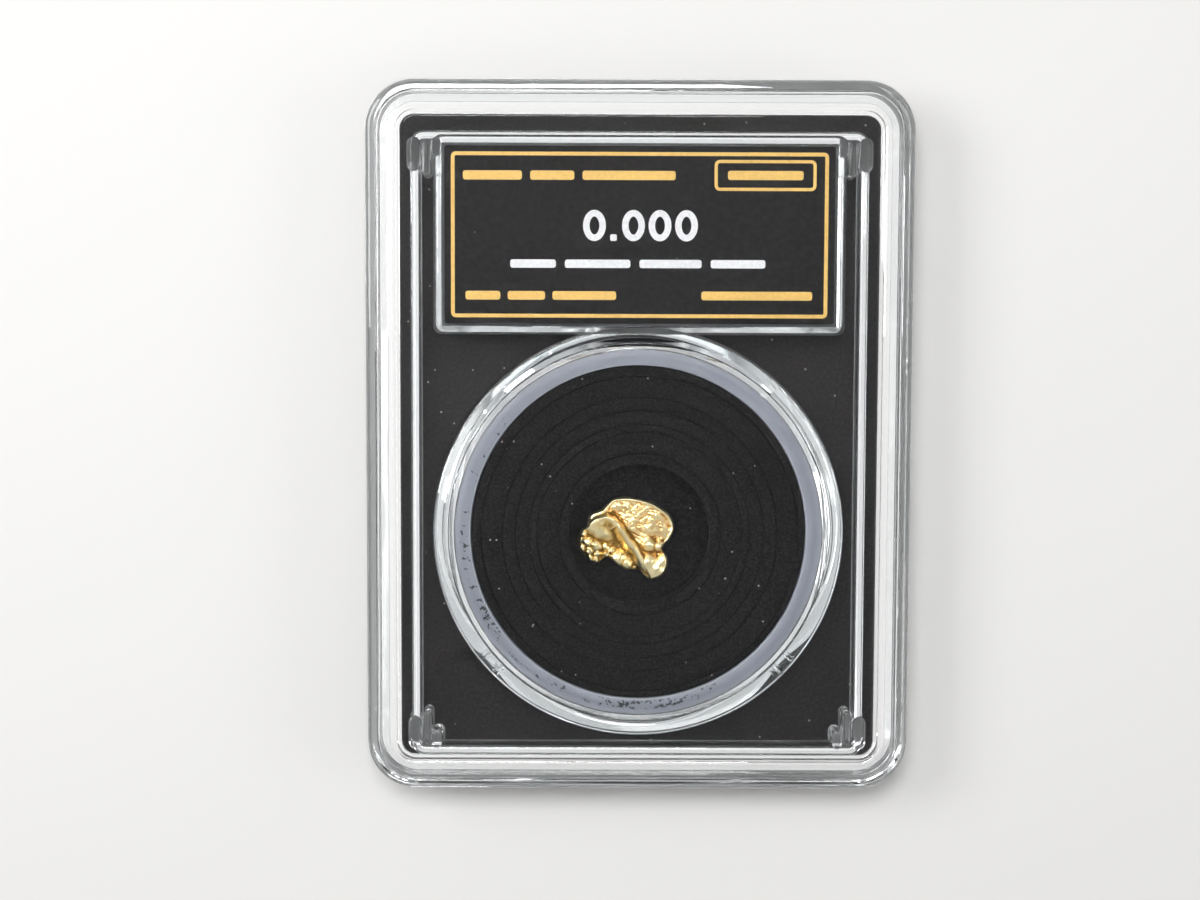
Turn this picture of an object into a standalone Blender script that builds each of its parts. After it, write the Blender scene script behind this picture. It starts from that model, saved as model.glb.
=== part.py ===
"""Natural gold nugget sealed in a flat, clear plastic display holder.

The holder lies on its back: +Z points out of its window and +Y to its label end.
The origin is the middle of the plane that its foot rim rests on. Lengths are in metres.
"""

import math

import bmesh
import bpy
from mathutils import Vector, noise

MM = 0.001

# Holder
HOLDER_WIDTH = 66.0 * MM
HOLDER_LENGTH = 86.0 * MM
HOLDER_THICKNESS = 8.5 * MM
CORNER_RADIUS = 6.0 * MM
FIT_GAP = 0.3 * MM

# Plates, rims and outer walls of the two shells; an inset is measured from the holder's outside
FOOT_HEIGHT = 0.6 * MM
FOOT_OUTER_INSET = 2.0 * MM
FOOT_INNER_INSET = 4.2 * MM
FOOT_SLOPE = 0.4 * MM
PLATE_THICKNESS = 1.3 * MM
RIM_HEIGHT = 0.7 * MM
RIM_OUTER_INSET = 1.55 * MM
RIM_INNER_INSET = 3.4 * MM
RIM_SLOPE = 0.3 * MM
RIM_ROUND_DROP = 0.15 * MM
WINDOW_INSET = 4.2 * MM
SHOULDER_INSET = 1.3 * MM
SHOULDER_DROP = 0.45 * MM
# The outer edge falls round from the shoulder to the side: inset and fall
EDGE_ROUND = ((0.9 * MM, 0.0), (0.3 * MM, 0.22 * MM), (0.0, 0.7 * MM))
OUTER_WALL = 1.3 * MM
TONGUE_WALL = 1.0 * MM
SEAM_HEIGHT = 4.1 * MM
WALL_ROOT = 0.4 * MM
LEAST_CORNER = 1.0 * MM
CORNER_STEPS = 6

# Inner cell wall and corner posts
CELL_WIDTH = 55.2 * MM
CELL_TOP = 36.9 * MM
CELL_BOTTOM = -39.1 * MM
CELL_WALL = 1.0 * MM
CELL_CORNER_RADIUS = 1.6 * MM
CELL_HEIGHT = 6.2 * MM
POST_HEIGHT = 6.12 * MM
POST_HEIGHT_STEP = 0.05 * MM
POST_STEPS = 5
# Each post is a stadium: its middle's distance in from the cell's corner, its width and its length
POST_SHAPES = (
    ((0.35 * MM, 2.75 * MM), 1.7 * MM, 4.1 * MM),
    ((1.85 * MM, 3.3 * MM), 1.0 * MM, 4.2 * MM),
    ((3.0 * MM, 1.9 * MM), 1.3 * MM, 2.3 * MM),
)

# Label pocket and its card
POCKET_WIDTH = 49.7 * MM
POCKET_LENGTH = 23.95 * MM
POCKET_MIDDLE_Y = 24.5 * MM
POCKET_WALL = 1.0 * MM
POCKET_LEDGE = 0.8 * MM
POCKET_CORNER_RADIUS = 0.9 * MM
POCKET_HEIGHT = 6.16 * MM
LEDGE_HEIGHT = 5.4 * MM
POCKET_CORNER_STEPS = 3
LABEL_THICKNESS = 0.4 * MM

# Round well, its soft ring and the foam in it
WELL_CENTRE = Vector((0.0, -11.6 * MM, 0.0))
WELL_OUTER_RADIUS = 25.0 * MM
WELL_STEP_RADIUS = 23.2 * MM
WELL_INNER_RADIUS = 22.4 * MM
WELL_HEIGHT = 6.08 * MM
WELL_STEP_HEIGHT = 5.0 * MM
COLLAR_RADIUS = 22.9 * MM
WELL_STEPS = 64
GASKET_INNER_RADIUS = 20.55 * MM
GASKET_STEPS = 48
FOAM_RADIUS = 20.25 * MM
FOAM_TOP = 6.2 * MM
FOAM_FLOOR_THICKNESS = 1.0 * MM
FOAM_HOLE_RADIUS = 8.6 * MM
FOAM_CUT_RADII = tuple(radius * MM for radius in (9.9, 12.5, 13.45, 15.15, 16.75, 19.3))
FOAM_CUT_CENTRE = WELL_CENTRE + Vector((0.2 * MM, -0.2 * MM, 0.0))
FOAM_STEPS = 36

# Black card round the well and the pocket, and its border strip outside the cell wall
CARD_THICKNESS = 0.5 * MM
CARD_CORNER_RADIUS = 1.0 * MM
BORDER_CARD_INSET = OUTER_WALL + TONGUE_WALL + 2 * FIT_GAP

# Levels that follow from the sizes above
PLATE_TOP = FOOT_HEIGHT + PLATE_THICKNESS
WINDOW_TOP = HOLDER_THICKNESS - RIM_HEIGHT
WINDOW_UNDERSIDE = WINDOW_TOP - PLATE_THICKNESS
CARD_UNDERSIDE = PLATE_TOP + FIT_GAP
FOAM_FLOOR_TOP = CARD_UNDERSIDE + FOAM_FLOOR_THICKNESS
NUGGET_UNDERSIDE = FOAM_FLOOR_TOP + FIT_GAP

# Nugget: where it lies, and its outline from above, anticlockwise, in mm from its middle
NUGGET_MIDDLE = WELL_CENTRE + Vector((-1.65 * MM, -0.57 * MM, NUGGET_UNDERSIDE))
NUGGET_OUTLINE = (
    (6.02, 0.45), (6.05, 1.45), (5.67, 2.45), (5.02, 3.08), (3.93, 3.86), (2.62, 4.35), (1.20, 4.68),
    (-0.22, 4.79), (-1.09, 4.67), (-1.74, 4.29), (-2.73, 3.36), (-4.20, 2.70), (-4.50, 1.75),
    (-4.72, 1.12), (-5.25, 0.80), (-5.60, 0.30), (-5.78, -0.80), (-5.62, -1.66), (-5.20, -2.25),
    (-4.69, -2.70), (-4.14, -3.22), (-3.49, -3.47), (-2.85, -3.05), (-2.35, -2.68), (-1.75, -2.83),
    (-1.25, -3.32), (-0.65, -3.86), (0.11, -4.24), (1.20, -4.25), (2.00, -4.38), (2.62, -5.07),
    (3.16, -5.50), (3.93, -5.39), (4.58, -4.96), (5.10, -4.36), (5.38, -3.70), (5.40, -3.05),
    (5.18, -2.30), (4.76, -1.80), (4.72, -1.50), (5.08, -0.98), (5.68, -0.22),
)
# Crest of the fold that crosses the nugget: place and height in mm
NUGGET_CREST = (
    (-4.15, 1.55, 2.00), (-3.45, 2.20, 2.20), (-2.20, 2.55, 2.40), (-1.30, 2.30, 2.50), (-0.75, 1.60, 2.50),
    (-0.20, 0.75, 2.50), (0.45, -0.25, 2.40), (1.20, -1.20, 2.30), (1.75, -2.00, 2.15), (2.20, -2.95, 2.00),
)
# Round lobes: place, radius and height in mm
NUGGET_LOBES = (
    (-2.75, 1.15, 2.00, 2.05), (-0.75, -2.75, 1.00, 1.60), (0.25, -3.35, 0.80, 1.30),
    (3.65, -4.25, 1.35, 2.00), (4.75, -3.20, 0.95, 1.90), (2.85, -3.15, 0.95, 2.00),
    (3.10, -1.05, 0.75, 1.95), (4.25, -1.30, 0.60, 1.70),
)
# Small knobs of the grape-like left side: place, radius and height in mm
NUGGET_KNOBS = (
    (-4.90, 0.35, 0.75, 1.55), (-5.20, -0.55, 0.60, 1.30), (-5.05, -1.45, 0.65, 1.35),
    (-4.40, -0.70, 0.80, 1.75), (-4.25, -1.75, 0.62, 1.55), (-3.45, -1.15, 0.85, 1.85),
    (-3.30, -2.10, 0.70, 1.50), (-4.15, -2.65, 0.62, 1.25), (-3.45, -2.95, 0.60, 1.30),
    (-2.35, -1.30, 0.75, 1.55), (-2.20, -2.15, 0.65, 1.35), (-1.55, -1.80, 0.60, 1.45),
)
LOBE_FALL = 0.55
KNOB_FALL = 0.75
# Ground on each side of the fold: its height, how much it swells, and how steeply the crest falls to it
NUGGET_PLATE = {"height": 1.35, "swell": 0.22, "fall": 1.5, "crest_round": 0.15}
NUGGET_HOLLOW = {"height": 0.90, "swell": 0.15, "fall": 0.62, "crest_round": 0.35}
# Rolled rim of the plate and the groove inside it: distance from the edge, half width and height, in mm
NUGGET_ROLL = (0.42, 0.26, 0.34)
NUGGET_GROOVE = (0.95, 0.25, -0.16)
# The rolled rim runs from the lower right, anticlockwise over the top: start and rate of its arc
ROLL_START = 0.45
ROLL_RATE = 1.15
# Underside: lift below the plate, its start and reach, and the depth of its hollows
UNDERSIDE_LIFT = 0.32
UNDERSIDE_LIFT_START = 0.5
UNDERSIDE_LIFT_REACH = 3.0
UNDERSIDE_SWELL = 0.24
# Share of the sphere that becomes the nugget's edge, the edge's roundness, and the height of its widest line
EDGE_SHARE = 0.16
NUGGET_EDGE_ROUND = 0.50
WIDEST_LEVEL = 0.45
WOBBLE = 0.07
WOBBLE_RATE = 1.1
NUGGET_SPHERE_LEVELS = 6
NUGGET_DETAIL_KEPT = 0.145


def clear_scene():
    """Removes every object, so that the model starts from nothing."""
    for thing in list(bpy.data.objects):
        bpy.data.objects.remove(thing, do_unlink=True)


def make_material(name, colour, roughness, metallic=0.0, transmission=0.0):
    """A Principled material with plain values."""
    material = bpy.data.materials.new(name)
    material.use_nodes = True
    shader = material.node_tree.nodes["Principled BSDF"]
    shader.inputs["Base Color"].default_value = (*colour, 1.0)
    shader.inputs["Roughness"].default_value = roughness
    shader.inputs["Metallic"].default_value = metallic
    shader.inputs["Transmission Weight"].default_value = transmission
    return material


def finish_piece(bm, name, material, parent, place=(0.0, 0.0, 0.0), smooth_angle=35.0):
    """Turns a bmesh into a named object on the holder, with round surfaces shaded smooth."""
    bmesh.ops.recalc_face_normals(bm, faces=bm.faces)
    mesh = bpy.data.meshes.new(name)
    bm.to_mesh(mesh)
    bm.free()
    mesh.materials.append(material)
    mesh.shade_smooth()
    mesh.set_sharp_from_angle(angle=math.radians(smooth_angle))
    piece = bpy.data.objects.new(name, mesh)
    piece.location = place
    piece.parent = parent
    bpy.context.scene.collection.objects.link(piece)
    return piece


def as_guide(piece):
    """Marks an object as a shape that only a Boolean reads."""
    piece.hide_render = True
    piece.display_type = "WIRE"
    return piece


def combine(piece, guide, operation):
    """Adds a guide to a piece, or takes it away, with an exact Boolean."""
    modifier = piece.modifiers.new(guide.name, "BOOLEAN")
    modifier.operation = operation
    modifier.solver = "EXACT"
    modifier.object = as_guide(guide)


def rounded_rectangle(width, length, radius, steps):
    """Points of a rectangle with round corners, anticlockwise round the origin."""
    points = []
    for quarter, (side_x, side_y) in enumerate(((1, 1), (-1, 1), (-1, -1), (1, -1))):
        centre_x = side_x * (width / 2 - radius)
        centre_y = side_y * (length / 2 - radius)
        for step in range(steps + 1):
            angle = math.radians(90.0) * (quarter + step / steps)
            points.append((centre_x + radius * math.cos(angle), centre_y + radius * math.sin(angle)))
    return points


def add_outline(bm, outline, height):
    """Places the corners of a closed outline at a height."""
    return [bm.verts.new((x, y, height)) for x, y in outline]


def join_outlines(bm, lower, upper):
    """Closes the band between two outlines with the same number of corners."""
    for place, corner in enumerate(lower):
        following = (place + 1) % len(lower)
        bm.faces.new((corner, lower[following], upper[following], upper[place]))


def stack_outlines(bm, width, length, radius, profile, steps, least_radius):
    """Joins rounded rectangles, each set in from the outer size by an inset, up a profile of heights."""
    outlines = []
    for inset, height in profile:
        corner = max(radius - inset, least_radius)
        outline = rounded_rectangle(width - 2 * inset, length - 2 * inset, corner, steps)
        outlines.append(add_outline(bm, outline, height))
    for lower, upper in zip(outlines, outlines[1:]):
        join_outlines(bm, lower, upper)
    return outlines


def shell_body(profile):
    """A closed plate with its rims and walls: the first and last outlines of the profile are filled."""
    bm = bmesh.new()
    outlines = stack_outlines(
        bm, HOLDER_WIDTH, HOLDER_LENGTH, CORNER_RADIUS, profile, CORNER_STEPS, LEAST_CORNER
    )
    bm.faces.new(outlines[0])
    bm.faces.new(outlines[-1])
    return bm


def wall_body(width, length, radius, profile, steps):
    """A closed wall on a rounded rectangle: its last outline is joined back to its first."""
    bm = bmesh.new()
    outlines = stack_outlines(bm, width, length, radius, profile, steps, radius / 3)
    join_outlines(bm, outlines[-1], outlines[0])
    return bm


def turned_body(profile, steps):
    """A closed ring: a closed profile of radius and height, spun round the upright axis."""
    bm = bmesh.new()
    corners = [bm.verts.new((radius, 0.0, height)) for radius, height in profile]
    edges = [bm.edges.new(pair) for pair in zip(corners, corners[1:] + corners[:1])]
    bmesh.ops.spin(
        bm, geom=corners + edges, cent=(0, 0, 0), axis=(0, 0, 1), angle=math.tau, steps=steps, use_merge=True
    )
    return bm


def stadium_body(bm, centre, width, length, low, high):
    """Adds an upright post whose plan is a rectangle with fully round ends."""
    outline = rounded_rectangle(width, length, width / 2 - FIT_GAP / 10, POST_STEPS)
    corners = [bm.verts.new((centre[0] + x, centre[1] + y, low)) for x, y in outline]
    face = bm.faces.new(corners)
    raised = bmesh.ops.extrude_face_region(bm, geom=[face])
    top = [corner for corner in raised["geom"] if isinstance(corner, bmesh.types.BMVert)]
    bmesh.ops.translate(bm, verts=top, vec=(0, 0, high - low))


# Back shell: plate with a foot rim and an outer wall, and the walls that stand on it
def back_shell_profile():
    """Insets and heights from the foot rim's inner edge, round the outside, to the plate's upper face."""
    shoulder = SHOULDER_DROP
    edge = [(inset, shoulder + fall) for inset, fall in EDGE_ROUND]
    return (
        (FOOT_INNER_INSET + FOOT_SLOPE, FOOT_HEIGHT),
        (FOOT_INNER_INSET, 0.0),
        (FOOT_OUTER_INSET, 0.0),
        (FOOT_OUTER_INSET - FOOT_SLOPE, shoulder),
        *edge,
        (0.0, SEAM_HEIGHT),
        (OUTER_WALL, SEAM_HEIGHT),
        (OUTER_WALL, PLATE_TOP),
    )


def make_cell_wall(material, parent):
    """The straight wall that closes the cell, standing on the back plate."""
    root = PLATE_TOP - WALL_ROOT
    profile = ((0.0, root), (0.0, CELL_HEIGHT), (CELL_WALL, CELL_HEIGHT), (CELL_WALL, root))
    bm = wall_body(CELL_WIDTH, CELL_TOP - CELL_BOTTOM, CELL_CORNER_RADIUS, profile, POCKET_CORNER_STEPS)
    middle = (0.0, (CELL_TOP + CELL_BOTTOM) / 2, 0.0)
    return finish_piece(bm, "cell_wall_guide", material, parent, middle)


def make_pocket_frame(material, parent):
    """The label pocket's wall, with the ledge inside it that the label card lies on."""
    root = PLATE_TOP - WALL_ROOT
    inner = POCKET_WALL + POCKET_LEDGE
    profile = (
        (0.0, root),
        (0.0, POCKET_HEIGHT),
        (POCKET_WALL, POCKET_HEIGHT),
        (POCKET_WALL, LEDGE_HEIGHT),
        (inner, LEDGE_HEIGHT),
        (inner, root),
    )
    bm = wall_body(POCKET_WIDTH, POCKET_LENGTH, POCKET_CORNER_RADIUS, profile, POCKET_CORNER_STEPS)
    return finish_piece(bm, "pocket_frame_guide", material, parent, (0.0, POCKET_MIDDLE_Y, 0.0))


def make_well_wall(material, parent):
    """The round wall of the well, stepped at its inner edge for the front shell's collar."""
    root = PLATE_TOP - WALL_ROOT
    profile = (
        (WELL_INNER_RADIUS, root),
        (WELL_INNER_RADIUS, WELL_STEP_HEIGHT),
        (WELL_STEP_RADIUS, WELL_STEP_HEIGHT),
        (WELL_STEP_RADIUS, WELL_HEIGHT),
        (WELL_OUTER_RADIUS, WELL_HEIGHT),
        (WELL_OUTER_RADIUS, root),
    )
    return finish_piece(turned_body(profile, WELL_STEPS), "well_wall_guide", material, parent, WELL_CENTRE)


def make_post_guides(material, parent):
    """For each post shape, its four copies in the cell's corners, as one guide."""
    guides = []
    root = PLATE_TOP - WALL_ROOT
    for number, (offset, width, length) in enumerate(POST_SHAPES, start=1):
        bm = bmesh.new()
        for side in (-1, 1):
            for corner_y, inward in ((CELL_TOP, -1), (CELL_BOTTOM, 1)):
                centre = (side * (CELL_WIDTH / 2 - offset[0]), corner_y + inward * offset[1])
                height = POST_HEIGHT - (number - 1) * POST_HEIGHT_STEP
                stadium_body(bm, centre, width, length, root, height)
        guides.append(finish_piece(bm, f"corner_post_guide_{number}", material, parent))
    return guides


def make_back_shell(parent):
    material = make_material("clear_plastic_back", (0.93, 0.95, 0.96), 0.06, transmission=0.95)
    shell = finish_piece(shell_body(back_shell_profile()), "back_shell", material, parent)
    combine(shell, make_cell_wall(material, parent), "UNION")
    combine(shell, make_pocket_frame(material, parent), "UNION")
    combine(shell, make_well_wall(material, parent), "UNION")
    for guide in make_post_guides(material, parent):
        combine(shell, guide, "UNION")


# Front shell: window plate with a raised rim, an outer wall, a tongue and the well's collar
def front_shell_profile():
    """Insets and heights from the window's edge, over the rim, down the outside and up the tongue."""
    tongue_outer = OUTER_WALL + FIT_GAP
    tongue_inner = tongue_outer + TONGUE_WALL
    wall_foot = SEAM_HEIGHT + FIT_GAP
    shoulder = HOLDER_THICKNESS - SHOULDER_DROP
    edge = [(inset, shoulder - fall) for inset, fall in EDGE_ROUND]
    return (
        (WINDOW_INSET, WINDOW_TOP),
        (RIM_INNER_INSET + RIM_SLOPE, HOLDER_THICKNESS - RIM_ROUND_DROP),
        (RIM_INNER_INSET, HOLDER_THICKNESS),
        (RIM_OUTER_INSET, HOLDER_THICKNESS),
        (SHOULDER_INSET, shoulder),
        *edge,
        (0.0, wall_foot),
        (tongue_outer, wall_foot),
        (tongue_outer, PLATE_TOP + FIT_GAP),
        (tongue_inner, PLATE_TOP + FIT_GAP),
        (tongue_inner, WINDOW_UNDERSIDE),
    )


def make_collar(material, parent):
    """The thin round collar under the window that reaches into the well's step."""
    low = WELL_STEP_HEIGHT + FIT_GAP
    high = WINDOW_UNDERSIDE + WALL_ROOT
    profile = (
        (WELL_INNER_RADIUS, low), (WELL_INNER_RADIUS, high), (COLLAR_RADIUS, high), (COLLAR_RADIUS, low),
    )
    return finish_piece(turned_body(profile, WELL_STEPS), "collar_guide", material, parent, WELL_CENTRE)


def make_front_shell(parent):
    material = make_material("clear_plastic_front", (0.95, 0.96, 0.97), 0.04, transmission=0.95)
    shell = finish_piece(shell_body(front_shell_profile()), "front_shell", material, parent)
    combine(shell, make_collar(material, parent), "UNION")


# Flat cards
def flat_card(name, width, length, radius, thickness, material, parent, place):
    """A thin card with round corners."""
    bm = bmesh.new()
    outline = rounded_rectangle(width, length, radius, POCKET_CORNER_STEPS)
    face = bm.faces.new([bm.verts.new((x, y, 0.0)) for x, y in outline])
    raised = bmesh.ops.extrude_face_region(bm, geom=[face])
    top = [corner for corner in raised["geom"] if isinstance(corner, bmesh.types.BMVert)]
    bmesh.ops.translate(bm, verts=top, vec=(0, 0, thickness))
    return finish_piece(bm, name, material, parent, place)


def make_backing_card(parent):
    """The black card, with one opening for the well and the label pocket together."""
    material = make_material("black_card", (0.018, 0.017, 0.018), 0.45)
    width = CELL_WIDTH - 2 * (CELL_WALL + FIT_GAP)
    top = CELL_TOP - CELL_WALL - FIT_GAP
    bottom = CELL_BOTTOM + CELL_WALL + FIT_GAP
    card = flat_card(
        "backing_card", width, top - bottom, CARD_CORNER_RADIUS, CARD_THICKNESS, material, parent,
        (0.0, (top + bottom) / 2, CARD_UNDERSIDE),
    )
    bm = bmesh.new()
    bmesh.ops.create_cone(
        bm, cap_ends=True, segments=WELL_STEPS, depth=4 * CARD_THICKNESS,
        radius1=WELL_OUTER_RADIUS + FIT_GAP, radius2=WELL_OUTER_RADIUS + FIT_GAP,
    )
    hole = finish_piece(bm, "card_hole_guide", material, parent, WELL_CENTRE + Vector((0, 0, CARD_UNDERSIDE)))
    combine(card, hole, "DIFFERENCE")
    slot_length = POCKET_LENGTH + 2 * FIT_GAP
    slot_place = (0.0, POCKET_MIDDLE_Y, CARD_UNDERSIDE - CARD_THICKNESS)
    slot = flat_card(
        "card_slot_guide", POCKET_WIDTH + 2 * FIT_GAP, slot_length, POCKET_CORNER_RADIUS + FIT_GAP,
        3 * CARD_THICKNESS, material, parent, slot_place,
    )
    combine(card, slot, "DIFFERENCE")
    reach_x = POST_SHAPES[2][0][0] + POST_SHAPES[2][1] / 2 + FIT_GAP
    reach_y = POST_SHAPES[1][0][1] + POST_SHAPES[1][2] / 2 + FIT_GAP
    notch_corners(card, reach_x, reach_y, 0.0, material, parent)


def notch_corners(card, reach_x, reach_y, shift_y, material, parent):
    """Cuts a card back from the posts in the cell's four corners."""
    for side in (-1, 1):
        for corner_y, inward in ((CELL_TOP, -1), (CELL_BOTTOM, 1)):
            place = (side * CELL_WIDTH / 2, corner_y + inward * shift_y, CARD_UNDERSIDE - CARD_THICKNESS)
            notch = flat_card(
                f"{card.name}_notch_guide", 2 * reach_x, 2 * reach_y, FIT_GAP, 3 * CARD_THICKNESS,
                material, parent, place,
            )
            combine(card, notch, "DIFFERENCE")


def make_border_card(parent):
    """The strip of black card between the front shell's tongue and the cell wall."""
    material = make_material("black_border_card", (0.018, 0.017, 0.018), 0.45)
    card = flat_card(
        "border_card", HOLDER_WIDTH - 2 * BORDER_CARD_INSET, HOLDER_LENGTH - 2 * BORDER_CARD_INSET,
        CORNER_RADIUS - BORDER_CARD_INSET, CARD_THICKNESS, material, parent, (0.0, 0.0, CARD_UNDERSIDE),
    )
    opening = flat_card(
        "border_opening_guide", CELL_WIDTH + 2 * FIT_GAP, CELL_TOP - CELL_BOTTOM + 2 * FIT_GAP,
        CELL_CORNER_RADIUS + FIT_GAP, 3 * CARD_THICKNESS, material, parent,
        (0.0, (CELL_TOP + CELL_BOTTOM) / 2, CARD_UNDERSIDE - CARD_THICKNESS),
    )
    combine(card, opening, "DIFFERENCE")
    first_offset, first_width, first_length = POST_SHAPES[0]
    reach_x = first_width / 2 - first_offset[0] + FIT_GAP
    notch_corners(card, reach_x, first_length / 2 + FIT_GAP, first_offset[1], material, parent)


def make_label_card(parent):
    material = make_material("black_label", (0.013, 0.012, 0.012), 0.35)
    width = POCKET_WIDTH - 2 * (POCKET_WALL + FIT_GAP)
    length = POCKET_LENGTH - 2 * (POCKET_WALL + FIT_GAP)
    place = (0.0, POCKET_MIDDLE_Y, LEDGE_HEIGHT + FIT_GAP)
    flat_card("label_card", width, length, FIT_GAP, LABEL_THICKNESS, material, parent, place)


# Soft ring and foam
def make_gasket_ring(parent):
    material = make_material("translucent_silicone", (0.42, 0.45, 0.52), 0.4, transmission=0.3)
    outer = WELL_INNER_RADIUS - FIT_GAP
    low = CARD_UNDERSIDE
    profile = (
        (GASKET_INNER_RADIUS, low), (GASKET_INNER_RADIUS, FOAM_TOP), (outer, FOAM_TOP), (outer, low),
    )
    finish_piece(turned_body(profile, GASKET_STEPS), "gasket_ring", material, parent, WELL_CENTRE)


def make_foam(parent):
    """The floor disc, and the rings that nest on it from the middle hole outwards."""
    material = make_material("black_foam", (0.012, 0.012, 0.012), 0.95)
    bm = bmesh.new()
    bmesh.ops.create_cone(
        bm, cap_ends=True, segments=FOAM_STEPS, depth=FOAM_FLOOR_THICKNESS,
        radius1=FOAM_RADIUS, radius2=FOAM_RADIUS,
    )
    floor_middle = WELL_CENTRE + Vector((0, 0, CARD_UNDERSIDE + FOAM_FLOOR_THICKNESS / 2))
    finish_piece(bm, "foam_floor", material, parent, floor_middle)
    low = FOAM_FLOOR_TOP + FIT_GAP
    inner_radii = (FOAM_HOLE_RADIUS,) + tuple(radius + FIT_GAP / 2 for radius in FOAM_CUT_RADII)
    outer_radii = tuple(radius - FIT_GAP / 2 for radius in FOAM_CUT_RADII) + (FOAM_RADIUS,)
    for number, (inner, outer) in enumerate(zip(inner_radii, outer_radii), start=1):
        bm = turned_body(((inner, low), (inner, FOAM_TOP), (outer, FOAM_TOP), (outer, low)), FOAM_STEPS)
        if outer == FOAM_RADIUS:
            rim_to_well(bm, (inner + outer) / 2)
        finish_piece(bm, f"foam_ring_{number}", material, parent, FOAM_CUT_CENTRE)


def rim_to_well(bm, middle_radius):
    """Moves the outer wall of the last foam ring from the cuts' centre to the well's."""
    outer_corners = [corner for corner in bm.verts if math.hypot(corner.co.x, corner.co.y) > middle_radius]
    bmesh.ops.translate(bm, verts=outer_corners, vec=WELL_CENTRE - FOAM_CUT_CENTRE)


# Gold nugget, worked out in mm and scaled at the end
def outline_radius(angle, knots):
    """Radius of the nugget's outline at an angle, on a smooth curve through the outline's points."""
    count = len(knots)
    after = next((place for place, knot in enumerate(knots) if knot[0] > angle), count)
    span = []
    for place in range(after - 2, after + 2):
        turns, index = divmod(place, count)
        span.append((knots[index][0] + turns * math.tau, knots[index][1]))
    (a0, r0), (a1, r1), (a2, r2), (a3, r3) = span
    share = (angle - a1) / (a2 - a1)
    slope1 = (r2 - r0) / (a2 - a0) * (a2 - a1)
    slope2 = (r3 - r1) / (a3 - a1) * (a2 - a1)
    s2 = share * share
    s3 = s2 * share
    return (
        (2 * s3 - 3 * s2 + 1) * r1
        + (s3 - 2 * s2 + share) * slope1
        + (3 * s2 - 2 * s3) * r2
        + (s3 - s2) * slope2
    )


def soft_max(first, second, blend):
    """The greater of two heights, rounded where they meet."""
    overlap = max(blend - abs(first - second), 0.0) / blend
    return max(first, second) + overlap * overlap * blend / 4


def crest_near(x, y):
    """Distance to the fold's crest, its height there, and whether the point is on the plate's side of it."""
    best = None
    for (x1, y1, h1), (x2, y2, h2) in zip(NUGGET_CREST, NUGGET_CREST[1:]):
        along_x = x2 - x1
        along_y = y2 - y1
        share = ((x - x1) * along_x + (y - y1) * along_y) / (along_x**2 + along_y**2)
        share = min(max(share, 0.0), 1.0)
        off_x = x - x1 - share * along_x
        off_y = y - y1 - share * along_y
        distance = math.hypot(off_x, off_y)
        if best is None or distance < best[0]:
            best = (distance, h1 + share * (h2 - h1), along_x * off_y - along_y * off_x > 0)
    return best


def dome(x, y, lobe, flatness):
    """Height of a round lobe at a place, falling away outside it."""
    distance = math.hypot(x - lobe[0], y - lobe[1]) / lobe[2]
    return lobe[3] - flatness * lobe[2] * distance * distance


def bead(edge_distance, shape):
    """Height of a raised or sunken line that follows the nugget's edge."""
    middle, half_width, height = shape
    return height * math.exp(-(((edge_distance - middle) / half_width) ** 2))


def nugget_top(x, y, edge_distance, angle):
    """Height of the nugget's upper side: plate, fold, lobes and knobs."""
    distance, crest, on_plate = crest_near(x, y)
    side = NUGGET_PLATE if on_plate else NUGGET_HOLLOW
    ground = side["height"] + side["swell"] * noise.noise(Vector((x * 0.55, y * 0.55, 3.7)))
    if on_plate:
        arc = math.sqrt(max(math.sin((angle + ROLL_START) * ROLL_RATE), 0.0))
        ground += arc * (bead(edge_distance, NUGGET_ROLL) + bead(edge_distance, NUGGET_GROOVE))
    fall = side["fall"] * (math.hypot(distance, side["crest_round"]) - side["crest_round"])
    height = soft_max(ground, crest - fall, 0.35)
    for lobe in NUGGET_LOBES:
        height = soft_max(height, dome(x, y, lobe, LOBE_FALL), 0.25)
    for knob in NUGGET_KNOBS:
        height = soft_max(height, dome(x, y, knob, KNOB_FALL), 0.10)
    return height


def nugget_underside(x, y):
    """Height of the underside: nearly flat where it rests, and lifted below the thin plate."""
    lift = UNDERSIDE_LIFT * min(max((x + y - UNDERSIDE_LIFT_START) / UNDERSIDE_LIFT_REACH, 0.0), 1.0)
    swell = noise.noise(Vector((x * 0.6, y * 0.6, 9.1)))
    return lift + UNDERSIDE_SWELL * max(swell + 0.25, 0.0)


def uneven(place):
    """A smooth, fixed wobble along each axis."""
    return Vector([noise.noise(place + Vector((shift, -shift, shift))) for shift in (0.0, 17.0, 31.0)])


def nugget_point(direction, knots):
    """Where a point of a sphere goes on the nugget: the sphere's equator becomes the nugget's round edge."""
    angle = math.atan2(direction.y, direction.x) % math.tau
    radius = outline_radius(angle, knots)
    latitude = abs(direction.z)
    if latitude < EDGE_SHARE:
        turn = latitude / EDGE_SHARE * math.pi / 2
        inwards = NUGGET_EDGE_ROUND * (1 - math.cos(turn))
        fullness = math.sin(turn)
    else:
        inwards = radius - (radius - NUGGET_EDGE_ROUND) * math.sqrt((1 - latitude) / (1 - EDGE_SHARE))
        fullness = 1.0
    x = (radius - inwards) * math.cos(angle)
    y = (radius - inwards) * math.sin(angle)
    top = nugget_top(x, y, inwards, angle)
    underside = nugget_underside(x, y)
    middle = underside + WIDEST_LEVEL * (top - underside)
    height = middle + fullness * ((top if direction.z > 0 else underside) - middle)
    place = Vector((x, y, height))
    return place + WOBBLE * uneven(WOBBLE_RATE * place)


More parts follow.
